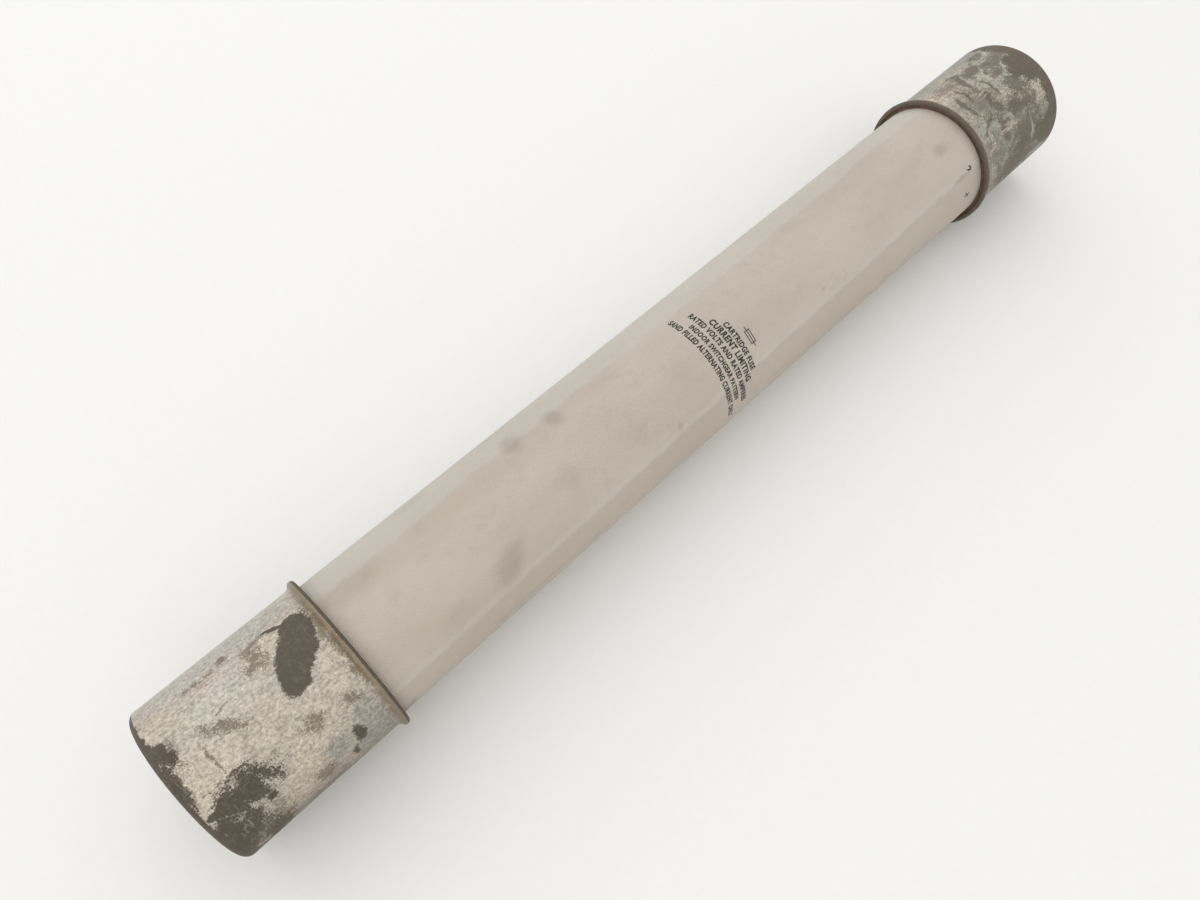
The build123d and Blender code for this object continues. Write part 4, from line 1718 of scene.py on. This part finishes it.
def upper_silver(end_x: float, rim_x: float, radius: float) -> TarnishedSilver:
    """Finish of the upper ferrule: duller all over, with taupe tarnish towards its end.

    Args:
        end_x: how far the outer end is from the fuse's middle.
        rim_x: how far the mouth is from the fuse's middle.
        radius: the cylinder's radius.

    Returns:
        The finish.
    """
    return TarnishedSilver(
        name="tarnished silver, upper",
        end=End.UPPER,
        solid=(
            Spot(289.0, 6.0, 14.0, 12.0, 20.0),
            Spot(296.0, 30.0, 8.0, 40.0),
            Spot(288.0, 50.0, 14.0, 10.0, 20.0),
            Spot(296.0, -12.0, 7.0, 26.0),
        ),
        mottled=(
            Spot(262.0, -13.0, 11.0, 5.2, -12.0),
            Spot(257.0, -11.5, 6.0, 5.0),
            Spot(270.0, -3.0, 7.0, 6.4, 30.0),
            Spot(281.0, -20.0, 7.5, 6.0, 30.0),
            Spot(248.0, 9.5, 2.6, 7.0, 10.0),
            Spot(256.3, 5.0, 1.8, 8.5, 2.0),
            Spot(236.5, 20.5, 9.0, 2.2, -30.0),
            Spot(249.5, 17.0, 6.0, 4.4, 20.0),
            Spot(274.0, 26.0, 6.5, 6.0, 30.0),
            Spot(268.0, 42.0, 20.0, 18.0),
            Spot(255.0, 56.0, 28.0, 14.0),
            Spot(273.0, 14.0, 9.0, 12.0),
            Spot(275.0, -8.0, 9.0, 6.0),
            Spot(249.0, -8.0, 2.8, 12.0, 8.0),
            Spot(232.0, 6.0, 1.8, 14.0),
            Spot(239.0, -1.0, 1.6, 8.0),
            Spot(246.0, 28.0, 6.0, 10.0),
            Spot(262.0, 24.0, 9.0, 6.0),
            Spot(252.0, -19.0, 5.0, 4.5),
            Spot(284.0, -10.0, 9.0, 7.0),
        ),
        speckled=(
            Spot(242.0, 8.0, 24.0, 22.0),
            Spot(232.0, 38.0, 16.0, 20.0),
            Spot(262.0, 22.0, 16.0, 14.0),
            Spot(240.0, -14.0, 20.0, 9.0),
            Spot(258.0, 50.0, 22.0, 16.0),
        ),
        tints=(
            Tint((0.33, 0.36, 0.32), 0.6, (Spot(232.0, 36.0, 13.0, 17.0), Spot(274.0, 8.0, 6.0, 8.0))),
            Tint((0.38, 0.36, 0.22), 0.4, (Spot(228.0, 11.0, 6.0, 4.0), Spot(290.0, 53.0, 6.0, 4.0))),
            Tint((0.44, 0.36, 0.31), 0.5, (Spot(240.0, -8.0, 9.0, 6.0), Spot(222.0, 24.0, 3.0, 5.0))),
        ),
        end_x=end_x,
        rim_x=rim_x,
        radius=radius,
        end_band_mm=3.0,
        rim_band_mm=4.6,
        pale=(0.56, 0.50, 0.395),
        cool=(0.37, 0.355, 0.30),
        # painted shade mixed with tarnish towards the underside
        shade_and_tarnish=(0.235, 0.21, 0.17),
        shade_and_tarnish_from_mm=12.0,
        shade_and_tarnish_to_mm=40.0,
        top=(0.26, 0.25, 0.205),
        top_share=0.85,
        wander=1.0,
        grit=1.3,
        mottled_cover=0.8,
        mottled_depth=0.75,
        scratches=0.75,
        tarnish=(0.088, 0.069, 0.046),
        light_tarnish=(0.17, 0.142, 0.105),
        gold=(0.19, 0.14, 0.085),
    )


def barrel_cloth(radius: float) -> GlassCloth:
    """Finish of the barrel, with its handling smudges.

    Args:
        radius: the barrel's radius.

    Returns:
        The finish.
    """
    return GlassCloth(
        name="glass cloth",
        radius=radius,
        smudges=(
            Spot(-108.0, -13.0, 4.5, 6.0),
            Spot(-85.0, -9.0, 4.0, 5.0),
            Spot(-145.0, 32.0, 11.0, 5.5, -35.0),
            Spot(195.0, 13.0, 5.5, 3.6),
            Spot(198.0, 34.5, 6.5, 1.3),
            Spot(-38.0, 36.0, 1.2, 2.6),
            Spot(-214.0, 62.0, 5.0, 5.0),
            Spot(75.0, 30.0, 1.5, 1.0),
        ),
        faint=(
            Spot(-200.0, -7.0, 13.0, 5.0),
            Spot(-100.0, 18.0, 5.0, 5.0),
            Spot(-160.0, -28.0, 8.0, 4.0),
            Spot(-101.0, 58.0, 3.0, 3.0),
            Spot(-135.0, 57.0, 25.0, 1.6),
            Spot(-175.0, 35.0, 8.0, 5.0),
            Spot(-217.0, 0.0, 4.0, 60.0),
            Spot(217.0, 0.0, 4.0, 60.0),
        ),
    )


def main() -> None:
    """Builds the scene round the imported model."""
    logging.basicConfig(level=logging.INFO, format="%(name)s %(message)s")
    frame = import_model()
    groups = EffectGroups()

    mounts = {mount["name"]: mount for mount in frame["record"]["mounts"]}
    ferrule_radius = mounts["lower_clip_contact"]["dims"]["r_mm"] * MM
    for end, node, finish, hole_radius in (
        (End.LOWER, "lower_ferrule", lower_silver, INDICATOR_HOLE_RADIUS),
        (End.UPPER, "upper_ferrule", upper_silver, 0.0),
    ):
        shell = FerruleShell(end, node, ferrule_radius, hole_radius)
        mouth, outer = shell.span()
        shell.build(finish(outer, mouth, ferrule_radius).build(groups))

    barrel_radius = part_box("barrel")[1].z
    tube = BarrelTube().build(barrel_cloth(barrel_radius).build(groups))
    Legend(PrintingInk("stamping ink").build(groups), tube, barrel_radius).build()
    InnerWorks(frame["nodes"]).dress(groups)
    Studio(floor_z=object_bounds()[0].z).build()


if __name__ == "__main__":
    main()
